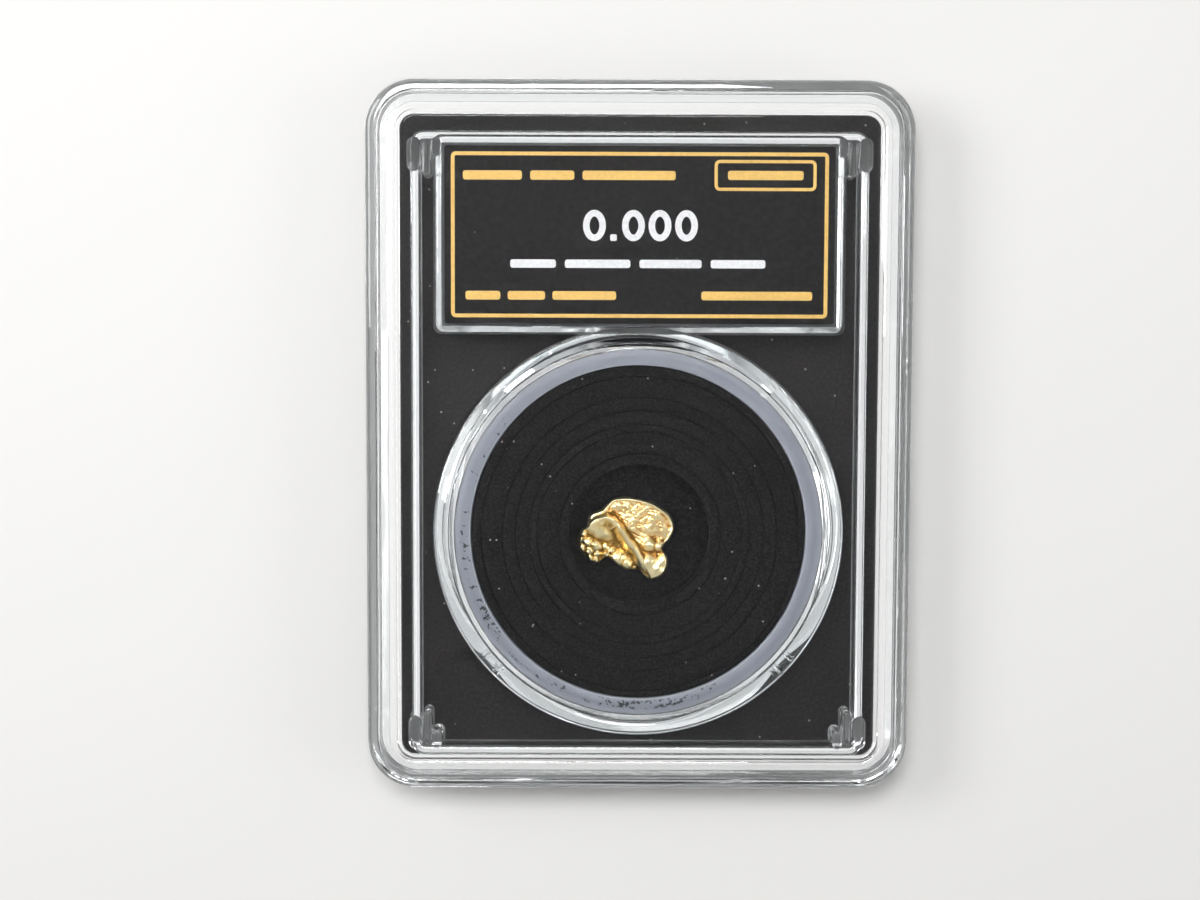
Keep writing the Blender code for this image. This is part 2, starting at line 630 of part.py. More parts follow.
def make_gold_nugget(parent):
    """A sphere moved onto the nugget's form, then thinned to the faces that its shape needs."""
    material = make_material("native_gold", (0.83, 0.58, 0.20), 0.28, metallic=1.0)
    bm = bmesh.new()
    bmesh.ops.create_icosphere(bm, subdivisions=NUGGET_SPHERE_LEVELS, radius=1.0)
    knots = sorted((math.atan2(y, x) % math.tau, math.hypot(x, y)) for x, y in NUGGET_OUTLINE)
    for corner in bm.verts:
        corner.co = nugget_point(corner.co.normalized(), knots)
    lowest = min(corner.co.z for corner in bm.verts)
    for corner in bm.verts:
        corner.co = (corner.co - Vector((0, 0, lowest))) * MM
    nugget = finish_piece(bm, "gold_nugget", material, parent, NUGGET_MIDDLE, smooth_angle=60.0)
    thinned = nugget.modifiers.new("fewer_faces", "DECIMATE")
    thinned.decimate_type = "COLLAPSE"
    thinned.ratio = NUGGET_DETAIL_KEPT


clear_scene()
holder = bpy.data.objects.new("holder", None)
bpy.context.scene.collection.objects.link(holder)
make_back_shell(holder)
make_backing_card(holder)
make_border_card(holder)
make_label_card(holder)
make_gasket_ring(holder)
make_foam(holder)
make_gold_nugget(holder)
make_front_shell(holder)
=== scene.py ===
"""Looks of the gold nugget in its clear display holder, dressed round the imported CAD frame.

The holder lies on its back: +Z points out of its window and +Y to its label end. Lengths are in metres.
"""

import math

import bmesh
import bpy
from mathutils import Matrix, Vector, noise


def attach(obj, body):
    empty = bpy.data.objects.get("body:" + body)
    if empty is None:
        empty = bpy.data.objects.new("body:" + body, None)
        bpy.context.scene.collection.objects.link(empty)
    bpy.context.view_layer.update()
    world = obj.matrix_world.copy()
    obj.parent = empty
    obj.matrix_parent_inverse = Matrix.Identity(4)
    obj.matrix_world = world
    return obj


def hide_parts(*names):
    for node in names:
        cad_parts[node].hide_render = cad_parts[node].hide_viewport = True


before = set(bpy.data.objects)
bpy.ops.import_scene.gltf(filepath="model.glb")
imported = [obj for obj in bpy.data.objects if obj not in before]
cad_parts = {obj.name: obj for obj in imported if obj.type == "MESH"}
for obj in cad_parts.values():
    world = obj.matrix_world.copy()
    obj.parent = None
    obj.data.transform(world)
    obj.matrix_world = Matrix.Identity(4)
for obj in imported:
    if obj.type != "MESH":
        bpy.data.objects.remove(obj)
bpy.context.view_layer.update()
MM = 0.001

# Back shell.
# One clear acrylic moulding: a plate on a foot rim, an outer wall and, standing on the plate, the cell's
# wall, the label pocket, the well's wall and three posts in each corner. Slanted grooves make walls shine.

HOLDER_WIDTH = 66.0 * MM
HOLDER_LENGTH = 86.0 * MM
HOLDER_CORNER = 6.0 * MM
CORNER_STEPS = 20
HOLDER_MIDDLE = (0.0, 0.0)
FOOT_LEVEL = 1.15 * MM
PLATE_TOP = 1.9 * MM
WALL_ROOT = 1.5 * MM
WALL_FLOOR = 1.7 * MM
OUTER_WALL = 1.3 * MM
SEAM_LEVEL = 4.25 * MM
SEAM_HALF_GAP = 0.03 * MM
ROUND_WIDTH = 0.9 * MM
ROUND_STEPS = 6
SHARP_ANGLE = 7.0
EDGE_SOFTNESS = 0.12 * MM
POST_SOFTNESS = 0.28 * MM
CELL_WIDTH = 55.2 * MM
CELL_TOP = 36.9 * MM
CELL_BOTTOM = -39.1 * MM
CELL_WALL_TOP = 6.44 * MM
POCKET_MIDDLE = (0.0, 24.5 * MM)
POCKET_ROOT = WALL_ROOT - 0.02 * MM
WELL_MIDDLE = (0.0, -11.6 * MM)
WELL_STEPS = 160
# Each post's offset inwards from the cell's corner, its width and its length, in mm
POSTS = (((0.35, 2.75), 1.7, 4.1), ((1.85, 3.3), 1.0, 4.2), ((3.0, 1.9), 1.3, 2.3))


def rounded_face(bm, width, length, radius, steps, middle, height):
    """A flat face with round corners."""
    corners = bmesh.ops.create_grid(bm, x_segments=1, y_segments=1, size=0.5)["verts"]
    bmesh.ops.scale(bm, vec=(width, length, 1.0), verts=corners)
    bmesh.ops.translate(bm, vec=(middle[0], middle[1], height), verts=corners)
    rounded = bmesh.ops.bevel(
        bm, geom=corners, offset=radius, offset_type="OFFSET", segments=steps, profile=0.5,
        affect="VERTICES", material=-1,
    )
    return rounded["verts"][0].link_faces[0]


def round_face(bm, radius, steps, middle, height):
    """A flat disc."""
    rim = bmesh.ops.create_circle(bm, cap_ends=True, radius=radius, segments=steps)["verts"]
    bmesh.ops.translate(bm, vec=(middle[0], middle[1], height), verts=rim)
    return rim[0].link_faces[0]


def step_face(bm, face, inwards, lift):
    """Steps a flat face in and up; a step of no width is a wall."""
    if inwards > 0:
        bmesh.ops.inset_region(
            bm, faces=[face], thickness=inwards, depth=0.0, use_even_offset=True, use_boundary=True
        )
    else:
        face = bmesh.ops.extrude_discrete_faces(bm, faces=[face])["faces"][0]
    bmesh.ops.translate(bm, vec=(0, 0, lift), verts=face.verts)
    return face


def draw_through(bm, outlines, steps, middle):
    """A closed solid through round-cornered outlines: the width, length, corner and height of each, in mm."""
    faces = [
        rounded_face(bm, width * MM, length * MM, corner * MM, steps, middle, height * MM)
        for width, length, corner, height in outlines
    ]
    rims = [list(face.edges) for face in faces]
    bmesh.ops.delete(bm, geom=faces[1:-1], context="FACES_ONLY")
    for below, above in zip(rims, rims[1:]):
        bmesh.ops.bridge_loops(bm, edges=below + above)


def raise_face(bm, face, lift):
    """Thickens a flat face into a closed slab and returns the new face."""
    raised = bmesh.ops.extrude_face_region(bm, geom=[face])["geom"]
    cap = next(part for part in raised if isinstance(part, bmesh.types.BMFace))
    bmesh.ops.translate(bm, vec=(0, 0, lift), verts=cap.verts)
    return cap


def spin_ring(bm, profile, steps, middle):
    """A closed ring, spun from a closed profile of radius and height."""
    corners = [bm.verts.new((radius, 0.0, height)) for radius, height in profile]
    edges = [bm.edges.new(pair) for pair in zip(corners, corners[1:] + corners[:1])]
    bmesh.ops.spin(
        bm, geom=corners + edges, cent=(0, 0, 0), axis=(0, 0, 1), angle=math.tau, steps=steps, use_merge=True
    )
    bmesh.ops.translate(bm, vec=(middle[0], middle[1], 0.0), verts=bm.verts)


def soften_edges(bm, width, above=-1.0):
    """Rounds every edge that turns sharply and lies above a height."""
    edges = [
        edge for edge in bm.edges
        if len(edge.link_faces) == 2
        and edge.calc_face_angle(0.0) > math.radians(25.0)
        and min(edge.verts[0].co.z, edge.verts[1].co.z) > above
    ]
    bmesh.ops.bevel(
        bm, geom=edges, offset=width, offset_type="OFFSET", segments=2, profile=0.5,
        affect="EDGES", clamp_overlap=True, material=-1,
    )


def make_piece(bm, name, material, sharp_angle=SHARP_ANGLE):
    """Turns a bmesh into a piece with outward faces."""
    bmesh.ops.remove_doubles(bm, verts=bm.verts, dist=0.0005 * MM)
    bmesh.ops.recalc_face_normals(bm, faces=bm.faces)
    mesh = bpy.data.meshes.new(name)
    bm.to_mesh(mesh)
    bm.free()
    if material is not None:
        mesh.materials.append(material)
    mesh.shade_smooth()
    mesh.set_sharp_from_angle(angle=math.radians(sharp_angle))
    piece = bpy.data.objects.new(name, mesh)
    bpy.context.scene.collection.objects.link(piece)
    return piece


def weld_on(piece, additions, operation="UNION"):
    """Joins each addition to a piece, or cuts it out, and keeps the result as the piece's own mesh."""
    for addition in additions:
        joint = piece.modifiers.new(addition.name, "BOOLEAN")
        joint.operation = operation
        joint.solver = "EXACT"
        joint.object = addition
    bpy.context.view_layer.update()
    welded = bpy.data.meshes.new_from_object(piece.evaluated_get(bpy.context.evaluated_depsgraph_get()))
    bm = bmesh.new()
    bm.from_mesh(welded)
    bmesh.ops.remove_doubles(bm, verts=bm.verts, dist=0.0005 * MM)
    bmesh.ops.dissolve_degenerate(bm, edges=bm.edges, dist=0.0005 * MM)
    bm.to_mesh(welded)
    bm.free()
    plain = piece.data
    piece.modifiers.clear()
    piece.data = welded
    welded.name = piece.name
    bpy.data.meshes.remove(plain)
    for addition in additions:
        bpy.data.objects.remove(addition)
    welded.shade_smooth()
    welded.set_sharp_from_angle(angle=math.radians(SHARP_ANGLE))


def edge_round(height):
    """Steps that turn the outer edge from upright to flat, over a quarter of an ellipse."""
    steps = []
    for step in range(ROUND_STEPS):
        near = math.radians(90.0) * step / ROUND_STEPS
        far = math.radians(90.0) * (step + 1) / ROUND_STEPS
        inwards = ROUND_WIDTH * (math.cos(near) - math.cos(far))
        steps.append((inwards, height * (math.sin(far) - math.sin(near))))
    return steps


def four_corners(offset):
    """The middles of one kind of post in the cell's four corners."""
    return [
        (side * (CELL_WIDTH / 2 - offset[0] * MM), corner_y + inward * offset[1] * MM)
        for side in (-1, 1)
        for corner_y, inward in ((CELL_TOP, -1), (CELL_BOTTOM, 1))
    ]


def node_link(tree, source, target):
    tree.links.new(source, target)


def clear_plastic(name, tint, haze):
    """Polished acrylic: plainly transparent, with fine rub marks that scatter its gloss."""
    material = bpy.data.materials.new(name)
    material.use_nodes = True
    tree = material.node_tree
    shader = tree.nodes["Principled BSDF"]
    shader.inputs["Base Color"].default_value = (*tint, 1.0)
    shader.inputs["Transmission Weight"].default_value = 1.0
    shader.inputs["IOR"].default_value = 1.49
    place = tree.nodes.new("ShaderNodeTexCoord")
    rubs = tree.nodes.new("ShaderNodeTexNoise")
    rubs.inputs["Scale"].default_value = 900.0
    rubs.inputs["Detail"].default_value = 6.0
    rubs.inputs["Roughness"].default_value = 0.75
    stretch = tree.nodes.new("ShaderNodeMapping")
    stretch.inputs["Rotation"].default_value = (0.0, 0.0, 0.6)
    stretch.inputs["Scale"].default_value = (0.12, 1.0, 0.5)
    node_link(tree, place.outputs["Object"], stretch.inputs["Vector"])
    node_link(tree, stretch.outputs["Vector"], rubs.inputs["Vector"])
    rub_range = tree.nodes.new("ShaderNodeMapRange")
    rub_range.inputs["From Min"].default_value = 0.60
    rub_range.inputs["From Max"].default_value = 0.78
    rub_range.inputs["To Min"].default_value = haze
    rub_range.inputs["To Max"].default_value = haze + 0.05
    node_link(tree, rubs.outputs["Fac"], rub_range.inputs["Value"])
    node_link(tree, rub_range.outputs["Result"], shader.inputs["Roughness"])
    flow = tree.nodes.new("ShaderNodeTexNoise")
    flow.inputs["Scale"].default_value = 140.0
    flow.inputs["Detail"].default_value = 1.0
    node_link(tree, place.outputs["Object"], flow.inputs["Vector"])
    wave = tree.nodes.new("ShaderNodeBump")
    wave.inputs["Strength"].default_value = 0.25
    wave.inputs["Distance"].default_value = 0.02 * MM
    node_link(tree, flow.outputs["Fac"], wave.inputs["Height"])
    node_link(tree, wave.outputs["Normal"], shader.inputs["Normal"])
    return material


shell_clear = clear_plastic("clear_acrylic_back", (0.97, 0.985, 0.99), 0.015)
bm = bmesh.new()
lower = rounded_face(bm, HOLDER_WIDTH, HOLDER_LENGTH, HOLDER_CORNER, CORNER_STEPS, HOLDER_MIDDLE, FOOT_LEVEL)
upper = raise_face(bm, lower, SEAM_LEVEL - SEAM_HALF_GAP - FOOT_LEVEL)
upper = step_face(bm, upper, OUTER_WALL, 0.0)
upper = step_face(bm, upper, 0.0, PLATE_TOP - SEAM_LEVEL + SEAM_HALF_GAP)
for inwards, rise in edge_round(0.7 * MM):
    lower = step_face(bm, lower, inwards, -rise)
for inwards, lift in ((0.7 * MM, 0.0), (0.4 * MM, -0.45 * MM), (2.2 * MM, 0.0), (0.4 * MM, 0.6 * MM)):
    lower = step_face(bm, lower, inwards, lift)
soften_edges(bm, EDGE_SOFTNESS)
back_shell = make_piece(bm, "holder_back", shell_clear)

cell_middle = (0.0, (CELL_TOP + CELL_BOTTOM) / 2)
bm = bmesh.new()
foot = rounded_face(bm, CELL_WIDTH, CELL_TOP - CELL_BOTTOM, 1.6 * MM, 10, cell_middle, WALL_ROOT)
cap = step_face(bm, raise_face(bm, foot, CELL_WALL_TOP - WALL_ROOT), 1.0 * MM, 0.0)
step_face(bm, cap, 0.0, WALL_FLOOR - CELL_WALL_TOP)
soften_edges(bm, EDGE_SOFTNESS, above=3.0 * MM)
cell_wall = make_piece(bm, "cell_wall", None)
bm = bmesh.new()
groove = ((53.0, 73.8, 0.5, 5.30), (54.9, 75.7, 1.45, 5.42), (53.0, 73.8, 0.5, 6.37))
draw_through(bm, groove, 10, cell_middle)
weld_on(cell_wall, [make_piece(bm, "cell_groove", None)], operation="DIFFERENCE")
bm = bmesh.new()
foot = rounded_face(bm, 49.7 * MM, 23.95 * MM, 0.9 * MM, 8, POCKET_MIDDLE, POCKET_ROOT)
raise_face(bm, foot, 6.42 * MM - POCKET_ROOT)
pocket_frame = make_piece(bm, "pocket_frame", None)
bm = bmesh.new()
seat = (
    (49.2, 23.45, 0.95, 5.64), (49.2, 23.45, 0.95, 5.66),
    (47.72, 21.97, 0.21, 6.40), (47.72, 21.97, 0.21, 7.0),
)
draw_through(bm, seat, 6, POCKET_MIDDLE)
label_seat = make_piece(bm, "label_seat", None)
bm = bmesh.new()
raise_face(bm, rounded_face(bm, 46.1 * MM, 20.35 * MM, 0.3 * MM, 6, POCKET_MIDDLE, 1.68 * MM), 5.4 * MM)
pocket_opening = make_piece(bm, "pocket_opening", None)
weld_on(pocket_frame, [label_seat, pocket_opening], operation="DIFFERENCE")
bm = bmesh.new()
profile = (
    (22.40, 1.46), (22.40, 4.62), (24.80, 4.62), (23.14, 6.28), (23.20, 6.40), (24.72, 6.40),
    (24.86, 6.34), (24.96, 6.22), (25.00, 6.05), (25.00, 1.46),
)
spin_ring(bm, [(radius * MM, height * MM) for radius, height in profile], WELL_STEPS, WELL_MIDDLE)
well_wall = make_piece(bm, "well_wall", None)
corner_posts = []
for number, (offset, width, length) in enumerate(POSTS, start=1):
    bm = bmesh.new()
    root = WALL_ROOT - (0.05 + 0.02 * number) * MM
    for middle in four_corners(offset):
        foot = rounded_face(bm, width * MM, length * MM, (width / 2 - 0.03) * MM, 8, middle, root)
        raise_face(bm, foot, (6.40 - 0.04 * number) * MM - root)
    soften_edges(bm, POST_SOFTNESS, above=3.0 * MM)
    corner_posts.append(make_piece(bm, f"corner_posts_{number}", None))
weld_on(back_shell, [cell_wall, pocket_frame, well_wall, *corner_posts])
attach(back_shell, "root")
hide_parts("back_shell")

# Black card.
# A thin, smooth black card lies on the back plate inside the cell, die-cut round the well, the pocket and
# the posts. A strip of it fills the border between the cell's wall and the tongue. It is a little dusty.

CARD_LOW = 2.2 * MM
CARD_HIGH = 2.7 * MM
CUT_LOW = 1.9 * MM
CUT_HIGH = 3.1 * MM
SLAB_CUT_LOW = CUT_LOW - 0.03 * MM
POST_GAP = 0.1


def dusty_black(name, colour, roughness, speck_scale, speck_size, grain_scale, grain_depth, contrast=1.6):
    """A dark, fine-grained surface with sparse pale specks of dust."""
    material = bpy.data.materials.new(name)
    material.use_nodes = True
    tree = material.node_tree
    shader = tree.nodes["Principled BSDF"]
    place = tree.nodes.new("ShaderNodeTexCoord")
    grain = tree.nodes.new("ShaderNodeTexNoise")
    grain.inputs["Scale"].default_value = grain_scale
    grain.inputs["Detail"].default_value = 4.0
    node_link(tree, place.outputs["Object"], grain.inputs["Vector"])
    shades = tree.nodes.new("ShaderNodeValToRGB")
    shades.color_ramp.elements[0].position = 0.40
    shades.color_ramp.elements[0].color = (*[channel / contrast for channel in colour], 1.0)
    shades.color_ramp.elements[1].position = 0.66
    shades.color_ramp.elements[1].color = (*[channel * contrast for channel in colour], 1.0)
    node_link(tree, grain.outputs["Fac"], shades.inputs["Fac"])
    specks = tree.nodes.new("ShaderNodeTexVoronoi")
    specks.inputs["Scale"].default_value = speck_scale
    specks.inputs["Randomness"].default_value = 1.0
    node_link(tree, place.outputs["Object"], specks.inputs["Vector"])
    is_speck = tree.nodes.new("ShaderNodeMath")
    is_speck.operation = "LESS_THAN"
    is_speck.inputs[1].default_value = speck_size
    node_link(tree, specks.outputs["Distance"], is_speck.inputs[0])
    colour_mix = tree.nodes.new("ShaderNodeMix")
    colour_mix.data_type = "RGBA"
    colour_mix.inputs["B"].default_value = (0.45, 0.44, 0.42, 1.0)
    node_link(tree, is_speck.outputs["Value"], colour_mix.inputs["Factor"])
    node_link(tree, shades.outputs["Color"], colour_mix.inputs["A"])
    node_link(tree, colour_mix.outputs["Result"], shader.inputs["Base Color"])
    shader.inputs["Roughness"].default_value = roughness
    shader.inputs["Specular IOR Level"].default_value = 0.2
    bump = tree.nodes.new("ShaderNodeBump")
    bump.inputs["Strength"].default_value = 0.6
    bump.inputs["Distance"].default_value = grain_depth
    node_link(tree, grain.outputs["Fac"], bump.inputs["Height"])
    node_link(tree, bump.outputs["Normal"], shader.inputs["Normal"])
    return material


card_black = dusty_black(
    "card_black", (0.016, 0.0145, 0.0145), roughness=0.5, speck_scale=420.0, speck_size=0.05,
    grain_scale=2600.0, grain_depth=0.01 * MM,
)


def card_slab(name, width, length, corner, middle, low=CARD_LOW, high=CARD_HIGH, material=None):
    """A flat, round-cornered slab of card, or a cutter of that outline."""
    bm = bmesh.new()
    raise_face(bm, rounded_face(bm, width * MM, length * MM, corner * MM, 8, middle, low), high - low)
    return make_piece(bm, name, material)


def post_cutters():
    """Cutters for the posts in the four corners, wider than the posts by a gap."""
    cutters = []
    for number, (offset, width, length) in enumerate(POSTS, start=1):
        bm = bmesh.new()
        span = (width + 2 * POST_GAP) * MM
        low = CUT_LOW + 0.01 * number * MM
        for middle in four_corners(offset):
            foot = rounded_face(bm, span, (length + 2 * POST_GAP) * MM, 0.49 * span, 8, middle, low)
            raise_face(bm, foot, CUT_HIGH - CUT_LOW)
        cutters.append(make_piece(bm, f"post_cutter_{number}", None))
    return cutters


card_length = (CELL_TOP - CELL_BOTTOM) / MM
backing_card = card_slab("card_in_cell", 53.0, card_length - 2.2, 0.8, cell_middle, material=card_black)
bm = bmesh.new()
raise_face(bm, round_face(bm, 25.1 * MM, WELL_STEPS, WELL_MIDDLE, CUT_LOW), CUT_HIGH - CUT_LOW)
well_cutter = make_piece(bm, "well_cutter", None)
pocket_cutter = card_slab("pocket_cutter", 49.9, 24.15, 0.9, POCKET_MIDDLE, SLAB_CUT_LOW, CUT_HIGH)
weld_on(backing_card, [well_cutter, pocket_cutter, *post_cutters()], operation="DIFFERENCE")
border_card = card_slab("card_border", 60.4, 80.4, 3.0, HOLDER_MIDDLE, material=card_black)
cell_cutter = card_slab("cell_cutter", 55.4, card_length + 0.2, 1.7, cell_middle, SLAB_CUT_LOW, CUT_HIGH)
weld_on(border_card, [cell_cutter, *post_cutters()], operation="DIFFERENCE")
for piece, node in ((backing_card, "backing_card"), (border_card, "border_card")):
    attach(piece, "root")
    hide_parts(node)

# Label card.
# A black card with satin film rests on the pocket's ledge. Its gold frame, box and plain bars and its white
# numerals and bars are printed flush: each colour is let into the card's face.

LABEL_TOP = 6.12 * MM
LABEL_UNDERSIDE = 5.70 * MM
PRINT_DEPTH = 0.03 * MM
# The numerals' height on the card, their size and their stroke, in mm
NUMERAL_LEVEL = 25.65
NUMERAL_WIDTH = 2.75
NUMERAL_HEIGHT = 3.75
NUMERAL_STROKE = 0.78


def flat_bar(bm, left, right, low, high, corner, line=0.0):
    """A rounded bar let into the label's face, or its outline alone where a line's width is given."""
    middle = (POCKET_MIDDLE[0] + (left + right) / 2 * MM, (low + high) / 2 * MM)
    face = rounded_face(
        bm, (right - left) * MM, (high - low) * MM, corner * MM, 6, middle, LABEL_TOP - PRINT_DEPTH
    )
    raise_line(bm, face, line)


def raise_line(bm, face, line):
    """Raises a flat shape to the label's face; with a line's width, only its border."""
    faces = [face]
    if line > 0:
        faces = bmesh.ops.inset_region(
            bm, faces=[face], thickness=line * MM, depth=0.0, use_even_offset=True, use_boundary=True
        )["faces"]
        bmesh.ops.delete(bm, geom=[face], context="FACES_ONLY")
    raised = bmesh.ops.extrude_face_region(bm, geom=faces)["geom"]
    corners = [part for part in raised if isinstance(part, bmesh.types.BMVert)]
    bmesh.ops.translate(bm, vec=(0, 0, PRINT_DEPTH), verts=corners)


def numeral_nought(bm, centre_x):
    """A plain, bold nought."""
    rim = bmesh.ops.create_circle(bm, cap_ends=True, radius=0.5 * MM, segments=48)["verts"]
    bmesh.ops.scale(bm, vec=(NUMERAL_WIDTH, NUMERAL_HEIGHT, 1.0), verts=rim)
    bmesh.ops.translate(bm, vec=(centre_x * MM, NUMERAL_LEVEL * MM, LABEL_TOP - PRINT_DEPTH), verts=rim)
    raise_line(bm, rim[0].link_faces[0], NUMERAL_STROKE)


def print_ink(name, colour):
    """Printed ink, slightly uneven in tone."""
    material = bpy.data.materials.new(name)
    material.use_nodes = True
    tree = material.node_tree
    shader = tree.nodes["Principled BSDF"]
    shader.inputs["Roughness"].default_value = 0.45
    place = tree.nodes.new("ShaderNodeTexCoord")
    mottle = tree.nodes.new("ShaderNodeTexNoise")
    mottle.inputs["Scale"].default_value = 3200.0
    mottle.inputs["Detail"].default_value = 3.0
    node_link(tree, place.outputs["Object"], mottle.inputs["Vector"])
    shades = tree.nodes.new("ShaderNodeValToRGB")
    shades.color_ramp.elements[0].position = 0.3
    shades.color_ramp.elements[0].color = (*[channel * 0.82 for channel in colour], 1.0)
    shades.color_ramp.elements[1].position = 0.7
    shades.color_ramp.elements[1].color = (*colour, 1.0)
    node_link(tree, mottle.outputs["Fac"], shades.inputs["Fac"])
    node_link(tree, shades.outputs["Color"], shader.inputs["Base Color"])
    return material


bm = bmesh.new()
flat_bar(bm, -22.75, 22.75, 14.55, 34.45, 0.60, line=0.45)
flat_bar(bm, 8.99, 21.27, 29.85, 33.55, 0.65, line=0.38)
for left, right, low, high in (
    (10.6, 19.7, 31.15, 32.25),
    (-21.3, -14.2, 31.1, 32.2), (-13.2, -7.9, 31.1, 32.2), (-6.9, 4.3, 31.1, 32.2),
    (-21.0, -16.8, 16.7, 17.75), (-15.9, -11.4, 16.7, 17.75), (-10.5, -2.8, 16.7, 17.75),
    (7.5, 20.9, 16.7, 17.75),
):
    flat_bar(bm, left, right, low, high, 0.3)
gold_print = make_piece(bm, "label_gold_print", print_ink("gold_ink", (0.86, 0.54, 0.13)))

bm = bmesh.new()
flat_bar(bm, -3.55, -2.75, 23.8, 24.6, 0.2)
for centre_x in (-5.45, -0.75, 2.45, 5.65):
    numeral_nought(bm, centre_x)
for left, right in ((-15.6, -10.1), (-9.0, -1.1), (0.0, 7.5), (8.6, 15.2)):
    flat_bar(bm, left, right, 20.55, 21.55, 0.3)
white_print = make_piece(bm, "label_white_print", print_ink("white_ink", (0.93, 0.93, 0.94)))

bm = bmesh.new()
face = rounded_face(bm, 47.1 * MM, 21.35 * MM, 0.3 * MM, 6, POCKET_MIDDLE, LABEL_UNDERSIDE)
raise_face(bm, face, LABEL_TOP - LABEL_UNDERSIDE)
label_black = dusty_black(
    "label_film_black", (0.008, 0.0075, 0.0075), roughness=0.6, speck_scale=380.0, speck_size=0.03,
    grain_scale=1500.0, grain_depth=0.004 * MM,
)
label_card = make_piece(bm, "label_face", label_black)
cutters = []
for ink in (gold_print, white_print):
    cutter = ink.copy()
    cutter.data = ink.data.copy()
    cutter.name = ink.name + "_cut"
    for corner in cutter.data.vertices:
        if corner.co.z > LABEL_TOP - PRINT_DEPTH / 2:
            corner.co.z += PRINT_DEPTH
    bpy.context.scene.collection.objects.link(cutter)
    cutters.append(cutter)
weld_on(label_card, cutters, operation="DIFFERENCE")
for piece in (label_card, gold_print, white_print):
    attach(piece, "root")
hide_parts("label_card")

# Soft ring.
# A translucent, blue-grey silicone ring is pressed between the well's wall and the foam. Where its top wets
# the window it turns dark, in specks that gather at the lower left. Its inner lip carries a painted
# highlight.

GASKET_INNER = 20.42 * MM
GASKET_OUTER = 22.34 * MM
GASKET_LOW = 2.0 * MM
GASKET_HIGH = 6.44 * MM


def radius_from(tree, place, middle):
    """Distance from an upright axis, as a node output in metres."""
    centred = tree.nodes.new("ShaderNodeMapping")
    centred.inputs["Location"].default_value = (-middle[0], -middle[1], 0.0)
    centred.inputs["Scale"].default_value = (1.0, 1.0, 0.0)
    node_link(tree, place.outputs["Object"], centred.inputs["Vector"])
    distance = tree.nodes.new("ShaderNodeVectorMath")
    distance.operation = "LENGTH"
    node_link(tree, centred.outputs["Vector"], distance.inputs[0])
    return centred, distance.outputs["Value"]


